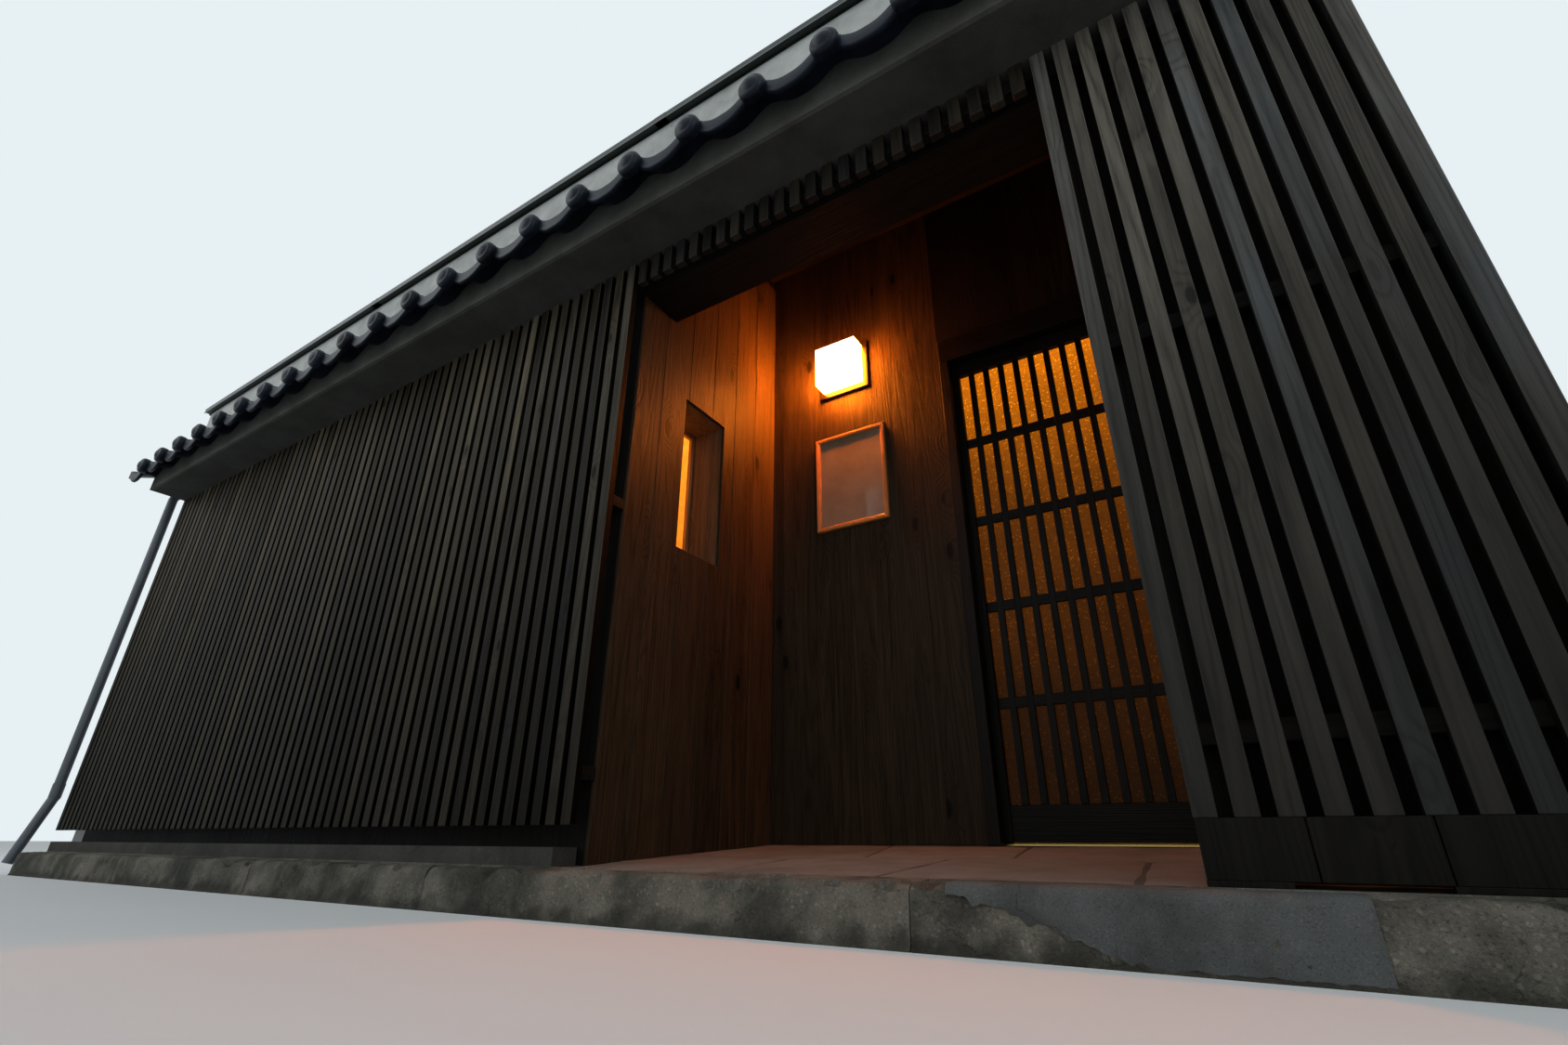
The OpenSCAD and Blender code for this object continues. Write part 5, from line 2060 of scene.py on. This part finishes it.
@dataclass
class MainRoof(SubAssembly):
    """The main roof behind the upper wall: decks, pantiles in courses, ridge and box gutter.

    Attributes:
        course: Length of a tile that shows.
        lap: Length of a tile under the next course.
        side_lap: Width of a tile over its neighbour.
        overhang: How far the rear tiles reach past their deck.
        ridge_step: Length of a ridge tile.
        cap_radius: Radius of the round caps' collars.
    """

    course: float = 0.235
    lap: float = 0.060
    side_lap: float = 0.012
    overhang: float = 0.050
    ridge_step: float = 0.300
    cap_radius: float = 0.075

    def build(self) -> None:
        """Builds and dresses the roof."""
        self.slope("roof_tiles_front", -1)
        self.slope("roof_tiles_rear", 1)
        self.ridge()
        self.dress(ROOF_TIMBER, "roof_deck_front", "roof_deck_rear")
        self.dress(COATED_SHEET, "box_gutter")

    def slope(self, node: str, side: int) -> None:
        """Pantiles of one slope, in columns and courses.

        A tile is a sheet over [share across, share down]. Across, it follows the wave, with its
        right edge lapped over its neighbour. Down, it lies low under the course above and rises
        to the tiles' full height at its lower end. The grid is laid on the slope, whose frame
        is the street's X, the way down and the normal.

        Args:
            node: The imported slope.
            side: -1 for the street's slope, 1 for the rear one.
        """
        deck, rear, ridge = (Extent.of(name) for name in ("roof_deck_front", "roof_deck_rear", "roof_ridge"))
        top = max(deck.top, rear.top) - ROOF_SLOPE * RIDGE_HALF
        start = np.array([0, deck.back + side * RIDGE_HALF, top])
        if side < 0:
            run = deck.back - RIDGE_HALF - deck.front
        else:
            run = rear.back + self.overhang - deck.back - RIDGE_HALF
        down = np.array([0, side, -ROOF_SLOPE]) / STEEP
        normal = np.array([0, side * ROOF_SLOPE, 1]) / STEEP
        count = max(1, round(run * STEEP / self.course))
        course = run * STEEP / count
        pitch = (ridge.right - ridge.left) / TILE_COLUMNS
        column, row = [index.ravel() for index in np.meshgrid(np.arange(TILE_COLUMNS), np.arange(count))]
        draw = np.random.default_rng(400 + side)
        across, share = np.linspace(0, 1, 15), np.array([0.0, 0.35, 0.85, 1.0])
        x = ((column - TILE_COLUMNS / 2) * pitch)[:, None] + across[None] * (pitch + self.side_lap)
        x = np.clip(x - self.side_lap * (column[:, None] > 0) * (1 - across[None]), ridge.left, ridge.right)
        covered = np.where(row > 0, self.lap, 0.0)[:, None]
        along = row[:, None] * course - covered + share[None] * (course + covered)
        lift = TILE_THICKNESS * (0.18 + 0.82 * share ** 0.8)
        sunk_edge = 0.004 * np.clip((0.12 - across) / 0.12, 0, 1)
        settle = draw.uniform(-0.0015, 0.0, len(column))
        rise = tile_wave(x, pitch)[:, None, :] + lift[None, :, None] - sunk_edge + settle[:, None, None]
        under = np.maximum(rise - np.where(share > 0.9, 0.017, 0.006)[None, :, None], 0.0005)
        flat = start + along[:, :, None, None] * down
        tops, bottoms = (flat + height[..., None] * normal for height in (rise, under))
        tops[..., 0] = bottoms[..., 0] = x[:, None, :]
        surface = sheets(tops, bottoms, draw.random(len(column)))
        make_piece(node.replace("tiles", "pantiles"), surface, SMOKED_TILE, smooth=40,
                   replaces=[node])

    def ridge(self) -> None:
        """The ridge: a mortar bed, courses of flat tiles with staggered joints, and round caps."""
        box, deck = Extent.of("roof_ridge"), Extent.of("roof_deck_front")
        y, low, top = deck.back, deck.top - ROOF_SLOPE * RIDGE_HALF, box.top - self.cap_radius
        bed = [[(box.left + 0.004, box.right - 0.004), (y - 0.086, y + 0.086), (low, top)]]
        make_piece("ridge_bed", blocks(bed, 0.002, [0.2]), MORTAR)
        places = np.arange(box.left, box.right - 0.05, self.ridge_step)
        ends = np.append(places[1:], box.right)
        levels = np.linspace(low + 0.062, top, 6)
        parts = []
        for i, level in enumerate(levels[:-1]):
            shift = (i % 2) * self.ridge_step / 2
            starts, stops = (np.clip(edges + shift, box.left, box.right) for edges in (places, ends))
            if shift:
                starts, stops = np.append(box.left, starts), np.append(box.left + shift, stops)
            starts, stops = starts + 0.001, stops - 0.001
            keep = stops - starts > 0.02
            reach = RIDGE_HALF - 0.004 * i
            others = [(y - reach, y + reach), (level + 0.010, levels[i + 1] - 0.004)]
            parts.append(block_row(Axis.X, starts[keep], (stops - starts)[keep], others, 0.004, 430 + i))
        parts += [self.ridge_cap(start, end, y, top - 0.004, seed)
                  for start, end, seed in zip(places, ends, seeded(60, 441))]
        make_piece("ridge_tiles", Surface.joined(parts), SMOKED_TILE, smooth=38,
                   replaces=["roof_ridge"])

    def ridge_cap(self, start: float, end: float, y: float, low: float, seed: float) -> Surface:
        """A round cap: a half tube whose radius swells by a collar at one end, where it laps the next.

        Args:
            start: Its collar's end along X.
            end: Its other end.
            y: Depth of its middle.
            low: Height of its lower edges.
            seed: Its seed.

        Returns:
            Its closed surface.
        """
        length = end - start
        along = np.array([0, 0.012, 0.030, 0.040, 0.055, 0.97 * length, length])
        radius = self.cap_radius - np.array([[0, 0, 0.0005, 0.004, 0.006, 0.008, 0.0085]]).T
        turn = np.linspace(0, math.pi, 25)
        ys = np.hstack([y + radius * np.cos(turn), y - radius * 0.8, y + radius * 0.8])
        zs = np.hstack([low + (radius + 0.0035) * np.sin(turn), np.full((len(along), 2), low - 0.002)])
        return sweep(stations(start + along, ys, zs), seed)


@dataclass
class Fittings(SubAssembly):
    """The wall lamp, the bare framed sign and the downpipe.

    Attributes:
        rim: Width of the sign's frame.
        bead_inset: Distance of the frame's bead from its outer edge.
        bead_radius: Radius of the bead.
        bead_pitch: Length of half a turn of its strands.
    """

    rim: float = 0.020
    bead_inset: float = 0.0105
    bead_radius: float = 0.0042
    bead_pitch: float = 0.011

    def build(self) -> None:
        """Builds and dresses the fittings."""
        self.lamp()
        self.sign_moulding()
        self.sign_bead()
        self.dress(PAPER, "sign_panel")
        self.dress(GREY_PIPE, "downpipe")

    def lamp(self) -> None:
        """A shade with soft edges before a thin back plate."""
        make_piece("lamp_shell", rounded_block(Extent.of("lamp_shade"), 0.006, 5), LAMP_SHADE,
                   smooth=40, replaces=["lamp_shade"])
        make_piece("lamp_plate", rounded_block(Extent.of("lamp_base"), 0.005, 3), DARK_METAL,
                   smooth=40, replaces=["lamp_base"])

    @staticmethod
    def sign_sides(inset: Any) -> list[tuple[Array, Array]]:
        """Ends of the sign's four sides, one or many insets from its outer edge.

        Args:
            inset: The inset, or a column of insets.

        Returns:
            Start and end of each side as [x, z], for each inset.
        """
        box = Extent.of("sign_frame")
        corners = np.array(oblong(box.left, box.right, box.foot, box.top))
        inwards = np.array([[1, 1], [-1, 1], [-1, -1], [1, -1]], float)
        moved = [corner + way * inset for corner, way in zip(corners, inwards)]
        return list(zip(moved, moved[1:] + moved[:1]))

    def sign_moulding(self) -> None:
        """A mitred frame with a hollow round its face."""
        box, rim = Extent.of("sign_frame"), self.rim
        across = np.array([0.0, 0.0, 0.0035, 0.006, 0.013, 0.017, rim, rim])
        height = (box.back - box.front) * np.array([0.0, 0.72, 0.86, 0.80, 0.62, 0.70, 0.62, 0.0])
        sides = [np.stack([np.stack([flat[:, 0], box.back - height, flat[:, 1]], 1) for flat in side])
                 for side in self.sign_sides(across[:, None])]
        parts = [sweep(side, seed) for side, seed in zip(sides, seeded(4, 511))]
        make_piece("sign_moulding", Surface.joined(parts), PALE_WOOD, replaces=["sign_frame"])

    def sign_bead(self) -> None:
        """A twisted bead round the frame's face.

        The bead's radius swings with the angle round it less its place along the side, so that
        it looks like two strands laid together.
        """
        box = Extent.of("sign_frame")
        middle = box.back - (box.back - box.front) * 0.72
        turn = np.linspace(0, 2 * math.pi, 12, endpoint=False)
        beads = []
        for start, end in self.sign_sides(self.bead_inset):
            length = float(np.linalg.norm(end - start))
            along = np.linspace(0, 1, int(length / 0.0022))
            twist = along[:, None] * length / self.bead_pitch * math.pi
            swell = self.bead_radius * (0.80 + 0.20 * np.cos(2 * (turn[None] - twist)))
            ahead = (end - start) / length
            side = np.array([-ahead[1], ahead[0]])
            flat = start + along[:, None, None] * (end - start) + (swell * np.cos(turn))[..., None] * side
            depth = middle - swell * np.sin(turn)
            beads.append(sweep(np.stack([flat[..., 0], depth, flat[..., 1]], -1), 0.6))
        make_piece("sign_bead", Surface.joined(beads), PALE_WOOD, smooth=60)


@dataclass
class Studio:
    """Pale floor and backdrop, soft lights and the camera.

    Attributes:
        eye: The camera's place.
        turn_left: Its turn to the left of +Y, in degrees.
        tilt_up: Its tilt up from level, in degrees.
        roll: Its roll, in degrees.
        focal_pixels: Its focal length in pixels of the picture.
        picture_width: The picture's width in pixels.
        aim: The place that the soft lights shine at.
    """

    eye: tuple[float, float, float] = (2.575489, -4.787807, 0.181697)
    turn_left: float = 32.098
    tilt_up: float = 24.261
    roll: float = 0.239
    focal_pixels: float = 760.59
    picture_width: float = 1688.0
    aim: tuple[float, float, float] = (0.0, -2.0, 1.2)

    def build(self) -> None:
        """Builds the studio."""
        self.camera()
        self.floor()
        self.soft_lights()
        self.room_light()
        self.world()
        bpy.context.scene.view_settings.view_transform = "Standard"

    def camera(self) -> None:
        """The camera at the photograph's view."""
        data = bpy.data.cameras.new("camera")
        data.sensor_fit = "HORIZONTAL"
        data.sensor_width = 36.0
        data.lens = self.focal_pixels / self.picture_width * data.sensor_width
        data.clip_start = 0.02
        data.clip_end = 500
        camera = bpy.data.objects.new("camera", data)
        bpy.context.scene.collection.objects.link(camera)
        turns = [(self.turn_left, "Z"), (90 + self.tilt_up, "X"), (self.roll, "Z")]
        first, second, third = (Matrix.Rotation(math.radians(angle), 4, axis) for angle, axis in turns)
        camera.matrix_world = Matrix.Translation(self.eye) @ first @ second @ third
        bpy.context.scene.camera = camera

    def floor(self) -> None:
        """A wide pale floor."""
        mesh = bpy.data.meshes.new("studio_floor")
        mesh.from_pydata([(*corner, 0) for corner in oblong(-60.0, 60.0, -60.0, 60.0)], [], [(0, 1, 2, 3)])
        bench = Bench("studio_floor")
        cloud = bench.noise(bench.place(), 0.7, 2.0, 0.5)
        colour = bench.mix(cloud, (0.650, 0.695, 0.720), (0.685, 0.735, 0.760))
        mesh.materials.append(bench.finish(Base_Color=colour, Roughness=0.9, Specular_IOR_Level=0.1))
        floor = bpy.data.objects.new("studio_floor", mesh)
        bpy.context.scene.collection.objects.link(floor)

    @staticmethod
    def round_light(name: str, place: Sequence[float], size: float, power: float) -> bpy.types.Object:
        """A round lamp that shines down.

        Args:
            name: Its name.
            place: Its place.
            size: Its diameter.
            power: Its power in watts.

        Returns:
            Its object.
        """
        data = bpy.data.lights.new(name, "AREA")
        data.shape = "DISK"
        data.size = size
        data.energy = power
        light = bpy.data.objects.new(name, data)
        light.location = place
        bpy.context.scene.collection.objects.link(light)
        return light

    def soft_lights(self) -> None:
        """Three large round lamps turned towards the house."""
        lamps = [("key", (-5.5, -9.5, 6.0), 7.0, 230.0), ("side", (7.5, -8.0, 4.5), 6.0, 140.0),
                 ("rear", (1.0, 12.0, 9.0), 8.0, 380.0)]
        for name, place, size, power in lamps:
            x, y, z = np.array(self.aim) - np.array(place)
            light = self.round_light(name, place, size, power)
            light.rotation_euler = (math.atan2(math.hypot(x, y), -z), 0, math.atan2(y, x) - math.pi / 2)

    def room_light(self) -> None:
        """A warm lamp inside the house, behind the lit glass of the door."""
        glass = Extent.of("door_glass")
        light = self.round_light("room", (float(glass.right), float(glass.back) + 1.6, 2.2), 0.5, 45.0)
        light.data.color = (1.0, 0.42, 0.10)

    def world(self) -> None:
        """An even pale world that looks a little lighter than it lights."""
        world = bpy.data.worlds.new("studio")
        world.use_nodes = True
        graph = Graph(world.node_tree)
        path = graph.node("ShaderNodeLightPath")
        camera, glossy, through = (Wire(graph, path.outputs[f"Is {ray} Ray"])
                                   for ray in ("Camera", "Glossy", "Transmission"))
        lit, shown = (graph.wire("ShaderNodeBackground", {}, {"Color": (*colour, 1.0), "Strength": strength})
                      for colour, strength in (((0.96, 0.97, 0.96), 0.55), ((0.80, 0.87, 0.90), 1.0)))
        seen = camera.most(glossy.most(through))
        blend = graph.wire("ShaderNodeMixShader", {}, {0: seen, 1: lit, 2: shown})
        graph.node("ShaderNodeOutputWorld", {}, {"Surface": blend})
        bpy.context.scene.world = world


def main() -> None:
    """Builds the studio and every sub-assembly."""
    logging.basicConfig(level=logging.INFO, format="%(name)s %(message)s")
    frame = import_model()
    Studio().build()
    for part in (StreetBase, BoardedWalls, SlattedScreens, SlidingDoor, BoxedEave, UpperWall, MainRoof,
                 Fittings):
        part(frame).build()
        LOG.info("%s done", part.__name__)


if __name__ == "__main__":
    main()
